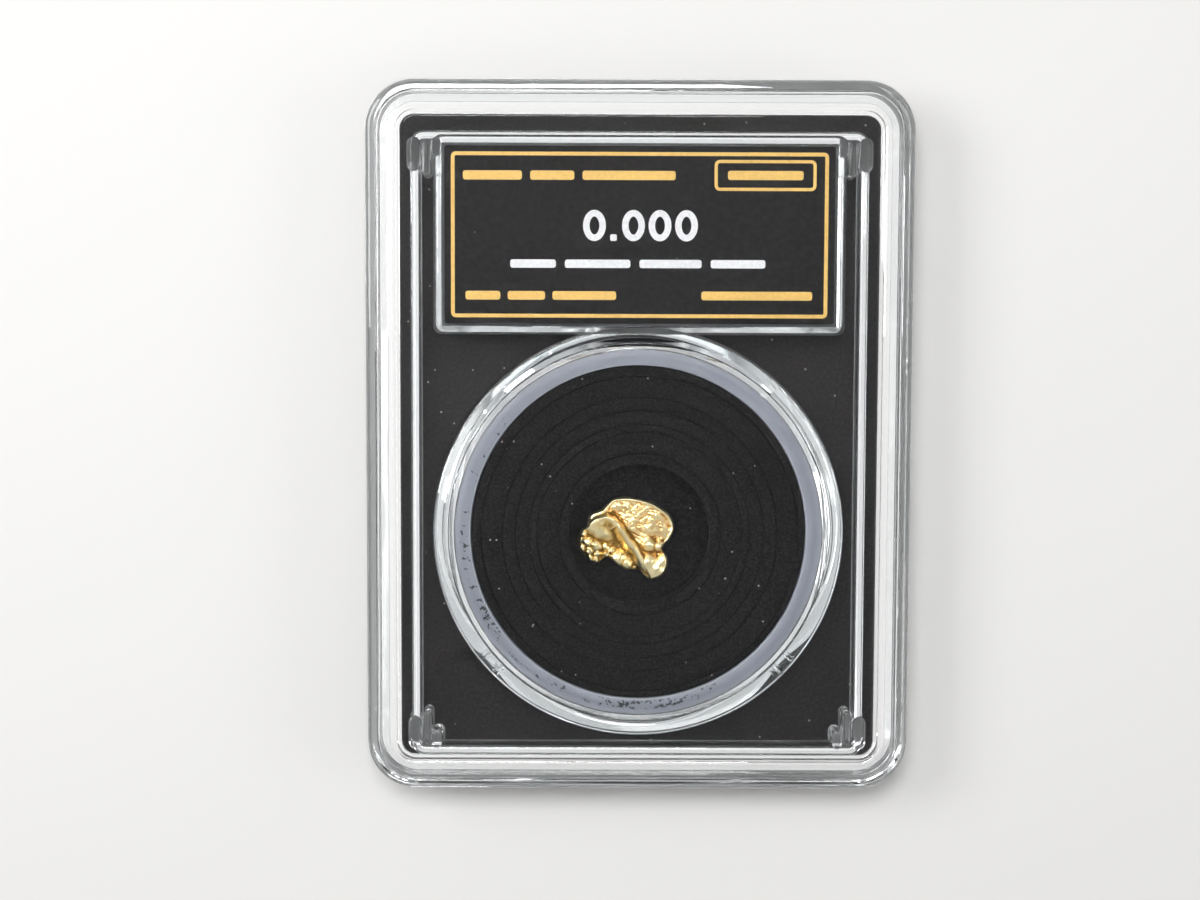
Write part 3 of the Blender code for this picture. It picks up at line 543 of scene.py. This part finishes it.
def silicone():
    """Silicone with a painted highlight at its inner lip, darkest across its middle and paler at its outer
    edge, with dark specks where it wets the window.
    """
    material = bpy.data.materials.new("silicone_blue_grey")
    material.use_nodes = True
    tree = material.node_tree
    shader = tree.nodes["Principled BSDF"]
    shader.inputs["Roughness"].default_value = 0.38
    shader.inputs["Subsurface Weight"].default_value = 0.25
    shader.inputs["Subsurface Scale"].default_value = 0.6 * MM
    shader.inputs["Subsurface Radius"].default_value = (0.8, 0.9, 1.0)
    place = tree.nodes.new("ShaderNodeTexCoord")
    centred, distance = radius_from(tree, place, WELL_MIDDLE)
    # Painted highlight: the colour is palest at the inner lip, darkest across the middle and paler again
    # towards the outer edge.
    across = tree.nodes.new("ShaderNodeValToRGB")
    ramp = across.color_ramp
    ramp.elements[0].position = 0.0
    ramp.elements[0].color = (0.40, 0.42, 0.475, 1.0)
    ramp.elements[1].position = 1.0
    ramp.elements[1].color = (0.325, 0.34, 0.39, 1.0)
    for position, colour in (
            (0.12, (0.285, 0.30, 0.345)), (0.55, (0.235, 0.25, 0.295)), (0.82, (0.29, 0.305, 0.35))):
        ramp.elements.new(position).color = (*colour, 1.0)
    share = tree.nodes.new("ShaderNodeMapRange")
    share.inputs["From Min"].default_value = GASKET_INNER
    share.inputs["From Max"].default_value = GASKET_OUTER
    node_link(tree, distance, share.inputs["Value"])
    node_link(tree, share.outputs["Result"], across.inputs["Fac"])
    wet = tree.nodes.new("ShaderNodeTexNoise")
    wet.inputs["Scale"].default_value = 1500.0
    wet.inputs["Detail"].default_value = 5.0
    wet.inputs["Roughness"].default_value = 0.65
    node_link(tree, place.outputs["Object"], wet.inputs["Vector"])
    gather = tree.nodes.new("ShaderNodeTexNoise")
    gather.inputs["Scale"].default_value = 110.0
    gather.inputs["Detail"].default_value = 2.0
    node_link(tree, place.outputs["Object"], gather.inputs["Vector"])
    lower_left = tree.nodes.new("ShaderNodeVectorMath")
    lower_left.operation = "DOT_PRODUCT"
    lower_left.inputs[1].default_value = (-9.0, -9.0, 0.0)
    node_link(tree, centred.outputs["Vector"], lower_left.inputs[0])
    amount = tree.nodes.new("ShaderNodeMath")
    amount.operation = "ADD"
    node_link(tree, gather.outputs["Fac"], amount.inputs[0])
    node_link(tree, lower_left.outputs["Value"], amount.inputs[1])
    amount_scaled = tree.nodes.new("ShaderNodeMath")
    amount_scaled.operation = "MULTIPLY_ADD"
    amount_scaled.inputs[1].default_value = 0.42
    node_link(tree, amount.outputs["Value"], amount_scaled.inputs[0])
    node_link(tree, wet.outputs["Fac"], amount_scaled.inputs[2])
    is_wet = tree.nodes.new("ShaderNodeMapRange")
    is_wet.inputs["From Min"].default_value = 0.862
    is_wet.inputs["From Max"].default_value = 0.880
    node_link(tree, amount_scaled.outputs["Value"], is_wet.inputs["Value"])
    band = tree.nodes.new("ShaderNodeValToRGB")
    band.color_ramp.elements[0].position = 0.10
    band.color_ramp.elements[0].color = (0.0, 0.0, 0.0, 1.0)
    band.color_ramp.elements[1].position = 0.20
    band.color_ramp.elements[1].color = (1.0, 1.0, 1.0, 1.0)
    band.color_ramp.elements.new(0.62).color = (1.0, 1.0, 1.0, 1.0)
    band.color_ramp.elements.new(0.74).color = (0.0, 0.0, 0.0, 1.0)
    node_link(tree, share.outputs["Result"], band.inputs["Fac"])
    wet_share = tree.nodes.new("ShaderNodeMath")
    wet_share.operation = "MULTIPLY"
    node_link(tree, is_wet.outputs["Result"], wet_share.inputs[0])
    node_link(tree, band.outputs["Color"], wet_share.inputs[1])
    colour_mix = tree.nodes.new("ShaderNodeMix")
    colour_mix.data_type = "RGBA"
    colour_mix.inputs["B"].default_value = (0.018, 0.02, 0.026, 1.0)
    node_link(tree, wet_share.outputs["Value"], colour_mix.inputs["Factor"])
    node_link(tree, across.outputs["Color"], colour_mix.inputs["A"])
    node_link(tree, colour_mix.outputs["Result"], shader.inputs["Base Color"])
    return material


bm = bmesh.new()
spin_ring(
    bm,
    (
        (GASKET_INNER, GASKET_LOW), (GASKET_INNER, 6.26 * MM), (GASKET_INNER + 0.06 * MM, 6.38 * MM),
        (GASKET_INNER + 0.2 * MM, GASKET_HIGH), (GASKET_OUTER - 0.5 * MM, GASKET_HIGH),
        (GASKET_OUTER - 0.35 * MM, 6.36 * MM), (GASKET_OUTER, 6.3 * MM), (GASKET_OUTER, GASKET_LOW),
    ),
    144, WELL_MIDDLE,
)
soft_ring = make_piece(bm, "silicone_ring", silicone(), sharp_angle=40.0)
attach(soft_ring, "root")
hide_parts("gasket_ring")

# Foam.
# The black foam is a floor disc with rings on it that nest in each other, so that the hole suits the
# specimen. The rings were cut from one sheet, so only thin round cuts show. Dust lies in its cells.

FOAM_UNDERSIDE = 2.0 * MM
FOAM_TOP = 6.2 * MM
FOAM_RADIUS = 20.34 * MM
FOAM_FLOOR_TOP = 3.49 * MM
FOAM_MIDDLE = (WELL_MIDDLE[0] + 0.2 * MM, WELL_MIDDLE[1] - 0.2 * MM)
FOAM_HOLE = 8.6 * MM
FOAM_CUTS = (9.9, 12.5, 13.45, 15.15, 16.75, 19.3)
FOAM_CUT_HALF_GAP = 0.03 * MM
FOAM_EDGE_ROUND = 0.10 * MM
FOAM_STEPS = 128

foam_black = dusty_black(
    "foam_black", (0.0065, 0.0062, 0.006), roughness=0.9, speck_scale=520.0, speck_size=0.055,
    grain_scale=3600.0, grain_depth=0.10 * MM, contrast=3.2,
)
bm = bmesh.new()
face = round_face(bm, 20.2 * MM, FOAM_STEPS, WELL_MIDDLE, FOAM_UNDERSIDE)
raise_face(bm, face, FOAM_FLOOR_TOP - FOAM_UNDERSIDE)
soften_edges(bm, 0.1 * MM)
foam_floor = make_piece(bm, "foam_floor_disc", foam_black, sharp_angle=50.0)
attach(foam_floor, "root")
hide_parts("foam_floor")

ring_bounds = [
    FOAM_HOLE - FOAM_CUT_HALF_GAP, *[cut * MM for cut in FOAM_CUTS], FOAM_RADIUS + FOAM_CUT_HALF_GAP
]
for number, (inner, outer) in enumerate(zip(ring_bounds, ring_bounds[1:]), start=1):
    inner += FOAM_CUT_HALF_GAP
    outer -= FOAM_CUT_HALF_GAP
    low = FOAM_FLOOR_TOP + 0.01 * MM
    top = FOAM_TOP - (0.03 * MM if number in (2, 4, 6) else 0.0)
    edge = FOAM_EDGE_ROUND
    bm = bmesh.new()
    spin_ring(
        bm,
        (
            (inner, low), (inner, top - edge), (inner + 0.3 * edge, top - 0.3 * edge), (inner + edge, top),
            (outer - edge, top), (outer - 0.3 * edge, top - 0.3 * edge), (outer, top - edge), (outer, low),
        ),
        FOAM_STEPS, FOAM_MIDDLE,
    )
    if number == len(ring_bounds) - 1:
        for corner in bm.verts:
            away = corner.co.xy - Vector(FOAM_MIDDLE)
            if away.length > outer - 2 * edge:
                corner.co.xy += Vector(WELL_MIDDLE) - Vector(FOAM_MIDDLE)
    ring = make_piece(bm, f"foam_layer_{number}", foam_black, sharp_angle=50.0)
    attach(ring, "root")
    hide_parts(f"foam_ring_{number}")

# Gold nugget.
# One nugget of native gold, sized in mm and then set on the foam: a crinkled plate at the upper right, a
# smooth fold beside it, a rough hollow, a bunch of grape-like knobs at the left and worn knobs lower right.

NUGGET_MIDDLE = Vector((WELL_MIDDLE[0] - 1.65 * MM, WELL_MIDDLE[1] - 0.57 * MM, 3.5 * MM))
NUGGET_EDGE_SHARE = 0.14
NUGGET_EDGE_ROUND = 0.36
NUGGET_OUTLINE = (
    (6.02, 0.45), (6.05, 1.45), (5.67, 2.45), (5.02, 3.08), (3.93, 3.86), (2.62, 4.35), (1.20, 4.68),
    (-0.22, 4.79), (-1.09, 4.67), (-1.74, 4.29), (-2.73, 3.36), (-4.20, 2.70), (-4.50, 1.75),
    (-4.72, 1.12), (-5.25, 0.80), (-5.60, 0.30), (-5.78, -0.80), (-5.62, -1.66), (-5.20, -2.25),
    (-4.69, -2.70), (-4.14, -3.22), (-3.49, -3.47), (-2.85, -3.05), (-2.35, -2.68), (-1.75, -2.83),
    (-1.25, -3.32), (-0.65, -3.86), (0.11, -4.24), (1.20, -4.25), (2.00, -4.38), (2.62, -5.07),
    (3.16, -5.50), (3.93, -5.39), (4.58, -4.96), (5.10, -4.36), (5.38, -3.70), (5.40, -3.05),
    (5.18, -2.30), (4.76, -1.80), (4.72, -1.50), (5.08, -0.98), (5.68, -0.22),
)
NUGGET_CREST = (
    (-4.15, 1.45, 1.95), (-3.45, 2.05, 2.20), (-2.20, 2.40, 2.40), (-1.30, 2.15, 2.50), (-0.75, 1.50, 2.50),
    (-0.20, 0.70, 2.50), (0.45, -0.28, 2.40), (1.20, -1.20, 2.25), (1.75, -2.00, 2.05), (2.20, -2.95, 1.85),
)
NUGGET_LOBES = (
    (-2.80, 1.20, 1.95, 2.25), (-0.75, -2.75, 1.00, 1.60), (0.25, -3.35, 0.80, 1.30),
    (3.85, -4.10, 1.40, 2.00), (4.75, -3.00, 0.95, 1.80), (2.85, -3.15, 0.95, 1.95),
    (3.10, -1.05, 0.75, 1.95), (4.25, -1.30, 0.60, 1.70),
)
NUGGET_KNOBS = (
    (-4.90, 0.35, 0.75, 1.55), (-5.20, -0.55, 0.60, 1.30), (-5.05, -1.45, 0.65, 1.35),
    (-4.40, -0.70, 0.80, 1.75), (-4.25, -1.75, 0.62, 1.55), (-3.45, -1.15, 0.85, 1.85),
    (-3.30, -2.10, 0.70, 1.50), (-4.15, -2.65, 0.62, 1.25), (-3.45, -2.95, 0.60, 1.30),
    (-2.35, -1.30, 0.75, 1.55), (-2.20, -2.15, 0.65, 1.35), (-1.55, -1.80, 0.60, 1.45),
)
# A fine crack in the plate, beside the fold, and its width and depth
NUGGET_CRACK = ((0.35, 0.85), (0.75, 0.55), (1.05, 0.42), (1.35, 0.30), (1.85, 0.0))
CRACK_WIDTH = 0.07
CRACK_DEPTH = 0.22


def outline_radius(angle, knots):
    """Radius of the nugget's outline at an angle, on a smooth curve through the outline's points."""
    count = len(knots)
    after = next((place for place, knot in enumerate(knots) if knot[0] > angle), count)
    span = []
    for place in range(after - 2, after + 2):
        turns, index = divmod(place, count)
        span.append((knots[index][0] + turns * math.tau, knots[index][1]))
    (a0, r0), (a1, r1), (a2, r2), (a3, r3) = span
    share = (angle - a1) / (a2 - a1)
    slope1 = (r2 - r0) / (a2 - a0) * (a2 - a1)
    slope2 = (r3 - r1) / (a3 - a1) * (a2 - a1)
    s2 = share * share
    s3 = s2 * share
    return (
        (2 * s3 - 3 * s2 + 1) * r1 + (s3 - 2 * s2 + share) * slope1
        + (3 * s2 - 2 * s3) * r2 + (s3 - s2) * slope2
    )


def soft_max(first, second, blend):
    """The greater of two heights, rounded where they meet."""
    overlap = max(blend - abs(first - second), 0.0) / blend
    return max(first, second) + overlap * overlap * blend / 4


def line_near(x, y, points):
    """Distance to a broken line, the share of the way along its nearest part, that part, and its side."""
    best = None
    for place, (start, end) in enumerate(zip(points, points[1:])):
        along_x = end[0] - start[0]
        along_y = end[1] - start[1]
        share = ((x - start[0]) * along_x + (y - start[1]) * along_y) / (along_x**2 + along_y**2)
        share = min(max(share, 0.0), 1.0)
        off_x = x - start[0] - share * along_x
        off_y = y - start[1] - share * along_y
        distance = math.hypot(off_x, off_y)
        if best is None or distance < best[0]:
            best = (distance, share, place, along_x * off_y - along_y * off_x > 0)
    return best


def dome(x, y, lobe, fall):
    """Height of a round lobe at a place, falling away outside it."""
    distance = math.hypot(x - lobe[0], y - lobe[1]) / lobe[2]
    return lobe[3] - fall * lobe[2] * distance * distance


def bead(distance, middle, half_width, height):
    """Height of a raised or sunken line that follows the nugget's edge."""
    return height * math.exp(-(((distance - middle) / half_width) ** 2))


def smooth_step(low, high, value):
    share = min(max((value - low) / (high - low), 0.0), 1.0)
    return share * share * (3 - 2 * share)


def ripple(x, y, rate, seed):
    return noise.noise(Vector((x * rate, y * rate, seed)))


def crinkles(x, y):
    """Fine worm-like ridges and pits of the plate, running roughly along its edge."""
    bend_x = x + 0.35 * ripple(x, y, 0.9, 1.3)
    bend_y = y + 0.35 * ripple(x, y, 0.9, 5.9)
    along = 0.8 * bend_x - 0.55 * bend_y
    across = 0.55 * bend_x + 0.8 * bend_y
    ridges = 1.0 - 2.2 * abs(noise.noise(Vector((along * 1.15, across * 2.1, 4.1))))
    small_ridges = 1.0 - 2.2 * abs(noise.noise(Vector((along * 2.9, across * 4.0, 8.3))))
    pits = max(ripple(x, y, 3.1, 12.7) - 0.22, 0.0)
    return 0.050 * ridges + 0.034 * small_ridges - 0.10 * pits


def nugget_top(x, y, edge_distance, angle):
    """Height of the upper side, and how hollow and how crinkled it is there; hollow places get painted shade.
    """
    distance, share, part, on_plate = line_near(x, y, NUGGET_CREST)
    crest = NUGGET_CREST[part][2] + share * (NUGGET_CREST[part + 1][2] - NUGGET_CREST[part][2])
    rough = 0.0
    plate = 0.0
    hollow = 0.0
    if on_plate:
        arc = math.sqrt(max(math.sin(angle + 0.45), 0.0))
        ground = 1.35 + 0.20 * noise.noise(Vector((x * 0.55, y * 0.55, 3.7)))
        ground += arc * (bead(edge_distance, 0.24, 0.14, 0.16) - bead(edge_distance, 0.62, 0.22, 0.07))
        fall = 1.3 * smooth_step(0.05, 0.62, distance)
        plate = smooth_step(0.50, 0.8, distance) * smooth_step(0.25, 0.5, edge_distance)
    else:
        ground = 0.90 + 0.15 * noise.noise(Vector((x * 0.55, y * 0.55, 3.7)))
        fall = 1.6 * smooth_step(0.05, 2.4 if part < 4 else 1.7, distance)
        rough = smooth_step(0.7, 1.3, distance)
        hollow = smooth_step(0.55, 1.5, distance)
    height = soft_max(ground, crest - fall, 0.35)
    smooth = 1.0 - smooth_step(0.2, 0.55, distance)
    for number, lobe in enumerate(NUGGET_LOBES):
        swell = dome(x, y, lobe, 0.55)
        if swell > height - 0.1:
            cover = smooth_step(-0.1, 0.15, swell - height)
            smooth = max(smooth, cover * (1.0 if number in (0, 3, 4) else 0.55))
            hollow *= 1.0 - 0.75 * cover
        height = soft_max(height, swell, 0.65 if number in (0, 3, 4, 5) else 0.3)
    grape = 0.0
    for knob in NUGGET_KNOBS:
        swell = dome(x, y, knob, 0.75)
        if swell > height - 0.1:
            grape = max(grape, smooth_step(-0.1, 0.1, swell - height))
        height = soft_max(height, swell, 0.14)
    plate *= 1.0 - smooth
    rough = rough * (1.0 - smooth) + 0.7 * grape
    hollow *= 1.0 - 0.8 * grape
    height += plate * crinkles(x, y)
    if rough > 0.0:
        height += rough * (0.075 * ripple(x, y, 2.4, 20.3) + 0.05 * ripple(x, y, 5.0, 31.1))
    height += 0.012 * ripple(x, y, 6.0, 41.9) + 0.02 * ripple(x, y, 2.2, 47.0)
    # A shallow dent in the upper-left lobe, counted as hollow so that it gets painted shade.
    dent = smooth_step(1.25, 0.25, math.hypot(x + 2.0, y - 1.15))
    height -= 0.13 * dent
    hollow = max(hollow, 0.75 * dent)
    crack = line_near(x, y, NUGGET_CRACK)[0]
    height -= CRACK_DEPTH * math.exp(-((crack / CRACK_WIDTH) ** 2))
    return height, hollow, plate


def nugget_underside(x, y):
    """Height of the underside: nearly flat where it rests, and lifted below the thin plate."""
    lift = 0.32 * min(max((x + y - 0.5) / 3.0, 0.0), 1.0)
    swell = noise.noise(Vector((x * 0.6, y * 0.6, 9.1)))
    return lift + 0.24 * max(swell + 0.25, 0.0) + 0.03 * (ripple(x, y, 2.0, 55.0) + 0.5)


def uneven(place):
    """A smooth, fixed wobble along each axis."""
    return Vector([noise.noise(place + Vector((shift, -shift, shift))) for shift in (0.0, 17.0, 31.0)])


def nugget_point(direction, knots):
    """Where a point of a sphere goes on the nugget: the sphere's equator becomes the nugget's round edge."""
    angle = math.atan2(direction.y, direction.x) % math.tau
    radius = outline_radius(angle, knots)
    latitude = abs(direction.z)
    if latitude < NUGGET_EDGE_SHARE:
        turn = latitude / NUGGET_EDGE_SHARE * math.pi / 2
        inwards = NUGGET_EDGE_ROUND * (1 - math.cos(turn))
        fullness = math.sin(turn)
    else:
        spread = math.sqrt((1 - latitude) / (1 - NUGGET_EDGE_SHARE))
        inwards = radius - (radius - NUGGET_EDGE_ROUND) * spread
        fullness = 1.0
    x = (radius - inwards) * math.cos(angle)
    y = (radius - inwards) * math.sin(angle)
    top, hollow, plate = nugget_top(x, y, inwards, angle)
    underside = nugget_underside(x, y)
    middle = underside + 0.45 * (top - underside)
    height = middle + fullness * ((top if direction.z > 0 else underside) - middle)
    place = Vector((x, y, height))
    return place + 0.07 * uneven(1.1 * place), hollow, plate


def native_gold():
    """Natural gold with painted light: deep ochre painted shade in hollows and a pale painted highlight where
    it stands out; glossier there, and rosy in the plate's pits.

    The relief attribute gives how far a place stands out, how hollow it lies and how rosy it is.
    """
    material = bpy.data.materials.new("native_gold")
    material.use_nodes = True
    tree = material.node_tree
    shader = tree.nodes["Principled BSDF"]
    shader.inputs["Metallic"].default_value = 1.0
    place = tree.nodes.new("ShaderNodeTexCoord")
    relief = tree.nodes.new("ShaderNodeAttribute")
    relief.attribute_name = "relief"
    relief_channels = tree.nodes.new("ShaderNodeSeparateColor")
    node_link(tree, relief.outputs["Color"], relief_channels.inputs["Color"])
    grain = tree.nodes.new("ShaderNodeTexNoise")
    grain.inputs["Scale"].default_value = 2600.0
    grain.inputs["Detail"].default_value = 5.0
    node_link(tree, place.outputs["Object"], grain.inputs["Vector"])
    height = tree.nodes.new("ShaderNodeMath")
    height.operation = "MULTIPLY_ADD"
    height.inputs[1].default_value = 0.22
    node_link(tree, grain.outputs["Fac"], height.inputs[0])
    node_link(tree, relief_channels.outputs["Red"], height.inputs[2])
    # Painted shade and highlight: deep ochre where the surface lies low or hollow, pale gold where it stands
    # out.
    painted_shade_tones = tree.nodes.new("ShaderNodeValToRGB")
    ramp = painted_shade_tones.color_ramp
    ramp.elements[0].position = 0.22
    ramp.elements[0].color = (0.30, 0.17, 0.035, 1.0)
    ramp.elements[1].position = 0.95
    ramp.elements[1].color = (1.0, 0.86, 0.50, 1.0)
    ramp.elements.new(0.45).color = (0.68, 0.44, 0.13, 1.0)
    ramp.elements.new(0.68).color = (0.97, 0.74, 0.33, 1.0)
    node_link(tree, height.outputs["Value"], painted_shade_tones.inputs["Fac"])
    rosy = tree.nodes.new("ShaderNodeMix")
    rosy.data_type = "RGBA"
    rosy.blend_type = "MULTIPLY"
    rosy.inputs["B"].default_value = (1.0, 0.80, 0.74, 1.0)
    node_link(tree, relief_channels.outputs["Blue"], rosy.inputs["Factor"])
    node_link(tree, painted_shade_tones.outputs["Color"], rosy.inputs["A"])
    node_link(tree, rosy.outputs["Result"], shader.inputs["Base Color"])
    gloss = tree.nodes.new("ShaderNodeMapRange")
    gloss.inputs["From Min"].default_value = 0.2
    gloss.inputs["From Max"].default_value = 0.9
    gloss.inputs["To Min"].default_value = 0.45
    gloss.inputs["To Max"].default_value = 0.33
    node_link(tree, height.outputs["Value"], gloss.inputs["Value"])
    node_link(tree, gloss.outputs["Result"], shader.inputs["Roughness"])
    bump = tree.nodes.new("ShaderNodeBump")
    bump.inputs["Strength"].default_value = 0.5
    bump.inputs["Distance"].default_value = 0.02 * MM
    node_link(tree, grain.outputs["Fac"], bump.inputs["Height"])
    node_link(tree, bump.outputs["Normal"], shader.inputs["Normal"])
    return material


bm = bmesh.new()
bmesh.ops.create_icosphere(bm, subdivisions=7, radius=1.0)
knots = sorted((math.atan2(y, x) % math.tau, math.hypot(x, y)) for x, y in NUGGET_OUTLINE)
relief_values = []
for corner in bm.verts:
    corner.co, hollow, plate = nugget_point(corner.co.normalized(), knots)
    relief_values.append((hollow, plate))
lowest = min(corner.co.z for corner in bm.verts)
even_ground = [corner.co.copy() for corner in bm.verts]
bm.verts.ensure_lookup_table()
for _ in range(20):
    even_ground = [
        sum((even_ground[edge.other_vert(corner).index] for edge in corner.link_edges), Vector())
        / len(corner.link_edges)
        for corner in bm.verts
    ]
bm.normal_update()
stand_out = [(corner.co - even_ground[corner.index]).dot(corner.normal) for corner in bm.verts]
for corner in bm.verts:
    corner.co = (corner.co - Vector((0, 0, lowest))) * MM + NUGGET_MIDDLE
gold_nugget = make_piece(bm, "native_gold_nugget", native_gold(), sharp_angle=180.0)
relief = gold_nugget.data.color_attributes.new("relief", "FLOAT_COLOR", "POINT")
for index, (hollow, plate) in enumerate(relief_values):
    # How far a place stands out, less where it lies hollow: it sets the gold's painted shade and highlight.
    raised = min(max(0.64 - 0.30 * hollow + stand_out[index] * 7.0, 0.0), 1.0)
    relief.data[index].color = (raised, hollow, plate * min(max(1.7 - 2.1 * raised, 0.0), 1.0), 1.0)
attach(gold_nugget, "root")
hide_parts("gold_nugget")

# Front shell.
# The front half is clear acrylic too: the window with a raised stacking rim round it, an outer wall, a
# tongue that nests inside the back half's wall and a thin collar that reaches into the well's step.

FRONT_FOOT = SEAM_LEVEL + SEAM_HALF_GAP
WINDOW_UNDERSIDE = 6.5 * MM
WINDOW_SLANT = 1.0 * MM
SHOULDER_LEVEL = 7.3 * MM
TONGUE_GAP = 0.10 * MM
TONGUE_CLEARANCE = 0.06 * MM
TONGUE_SLANT = 1.2 * MM

bm = bmesh.new()
lower = rounded_face(bm, HOLDER_WIDTH, HOLDER_LENGTH, HOLDER_CORNER, CORNER_STEPS, HOLDER_MIDDLE, FRONT_FOOT)
upper = raise_face(bm, lower, SHOULDER_LEVEL - FRONT_FOOT)
for inwards, rise in edge_round(0.75 * MM):
    upper = step_face(bm, upper, inwards, rise)
for inwards, lift in (
    (0.4 * MM, 0.0), (0.25 * MM, 0.45 * MM), (1.85 * MM, 0.0), (0.3 * MM, -0.15 * MM), (0.5 * MM, -0.55 * MM),
):
    upper = step_face(bm, upper, inwards, lift)
lower = step_face(bm, lower, OUTER_WALL + TONGUE_GAP, 0.0)
lower = step_face(bm, lower, 0.0, PLATE_TOP + TONGUE_CLEARANCE - FRONT_FOOT)
lower = step_face(bm, lower, TONGUE_SLANT, TONGUE_SLANT)
inside_wall = WINDOW_UNDERSIDE - WINDOW_SLANT - PLATE_TOP - TONGUE_CLEARANCE - TONGUE_SLANT
lower = step_face(bm, lower, 0.0, inside_wall)
lower = step_face(bm, lower, WINDOW_SLANT, WINDOW_SLANT)
soften_edges(bm, 0.08 * MM)
front_shell = make_piece(bm, "holder_front", clear_plastic("clear_acrylic_front", (0.98, 0.985, 0.99), 0.01))

bm = bmesh.new()
profile = ((22.45, 6.9), (22.45, 5.78), (23.08, 5.15), (23.08, 6.9))
spin_ring(bm, [(radius * MM, height * MM) for radius, height in profile], WELL_STEPS, WELL_MIDDLE)
weld_on(front_shell, [make_piece(bm, "collar", None)])
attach(front_shell, "root")
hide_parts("front_shell")

# Floor, lights and camera.
# The holder lies on a plain pale floor in a soft light tent that is bright round its foot and dim overhead,
# so that the window mirrors nothing bright. The camera stands where the photograph was taken.


def soft_light(name, place, size, power):
    """An area lamp that faces the holder."""
    lamp = bpy.data.lights.new(name, "AREA")
    lamp.shape = "RECTANGLE"
    lamp.size, lamp.size_y = size
    lamp.energy = power
    stand = bpy.data.objects.new(name, lamp)
    stand.location = place
    stand.rotation_euler = (-Vector(place)).to_track_quat("-Z", "Y").to_euler()
    bpy.context.scene.collection.objects.link(stand)


bm = bmesh.new()
bmesh.ops.create_grid(bm, x_segments=1, y_segments=1, size=1.5)
floor_material = bpy.data.materials.new("pale_floor")
floor_material.use_nodes = True
floor_shader = floor_material.node_tree.nodes["Principled BSDF"]
floor_shader.inputs["Base Color"].default_value = (0.40, 0.397, 0.39, 1.0)
floor_shader.inputs["Roughness"].default_value = 0.7
bmesh.ops.translate(bm, vec=(0, 0, -0.02 * MM), verts=bm.verts)
floor = make_piece(bm, "floor", floor_material)

soft_light("left_light", (-0.40, 0.16, 0.36), (0.30, 0.24), 2.4)
soft_light("right_light", (0.45, -0.05, 0.26), (0.30, 0.20), 0.7)
soft_light("high_light", (-0.04, 0.16, 0.44), (0.17, 0.13), 2.2)

sky = bpy.data.worlds.new("soft_sky")
sky.use_nodes = True
sky_tree = sky.node_tree
background = sky_tree.nodes["Background"]
background.inputs["Strength"].default_value = 1.3
direction = sky_tree.nodes.new("ShaderNodeTexCoord")
upright = sky_tree.nodes.new("ShaderNodeSeparateXYZ")
node_link(sky_tree, direction.outputs["Generated"], upright.inputs["Vector"])
sky_tones = sky_tree.nodes.new("ShaderNodeValToRGB")
sky_tones.color_ramp.elements[0].position = 0.10
sky_tones.color_ramp.elements[0].color = (1.0, 1.0, 1.0, 1.0)
sky_tones.color_ramp.elements[1].position = 0.965
sky_tones.color_ramp.elements[1].color = (0.08, 0.08, 0.083, 1.0)
for position, glow in ((0.45, 0.62), (0.92, 0.45)):
    sky_tones.color_ramp.elements.new(position).color = (glow, glow, glow, 1.0)
node_link(sky_tree, upright.outputs["Z"], sky_tones.inputs["Fac"])
node_link(sky_tree, sky_tones.outputs["Color"], background.inputs["Color"])
bpy.context.scene.world = sky

camera = bpy.data.objects.new("camera", bpy.data.cameras.new("camera"))
camera.data.sensor_width = 36.0
camera.data.lens = 60.0
camera.data.clip_start = 0.005
camera.data.clip_end = 10.0
camera.location = (-0.005551, 0.017303, 0.24899)
camera.rotation_euler = (-0.0774, -0.0033, 0.0036)
bpy.context.scene.collection.objects.link(camera)
bpy.context.scene.camera = camera
bpy.context.scene.view_settings.view_transform = "Standard"
light_paths = bpy.context.scene.cycles
light_paths.use_denoising = True
light_paths.max_bounces = 40
light_paths.transmission_bounces = 40
light_paths.glossy_bounces = 24
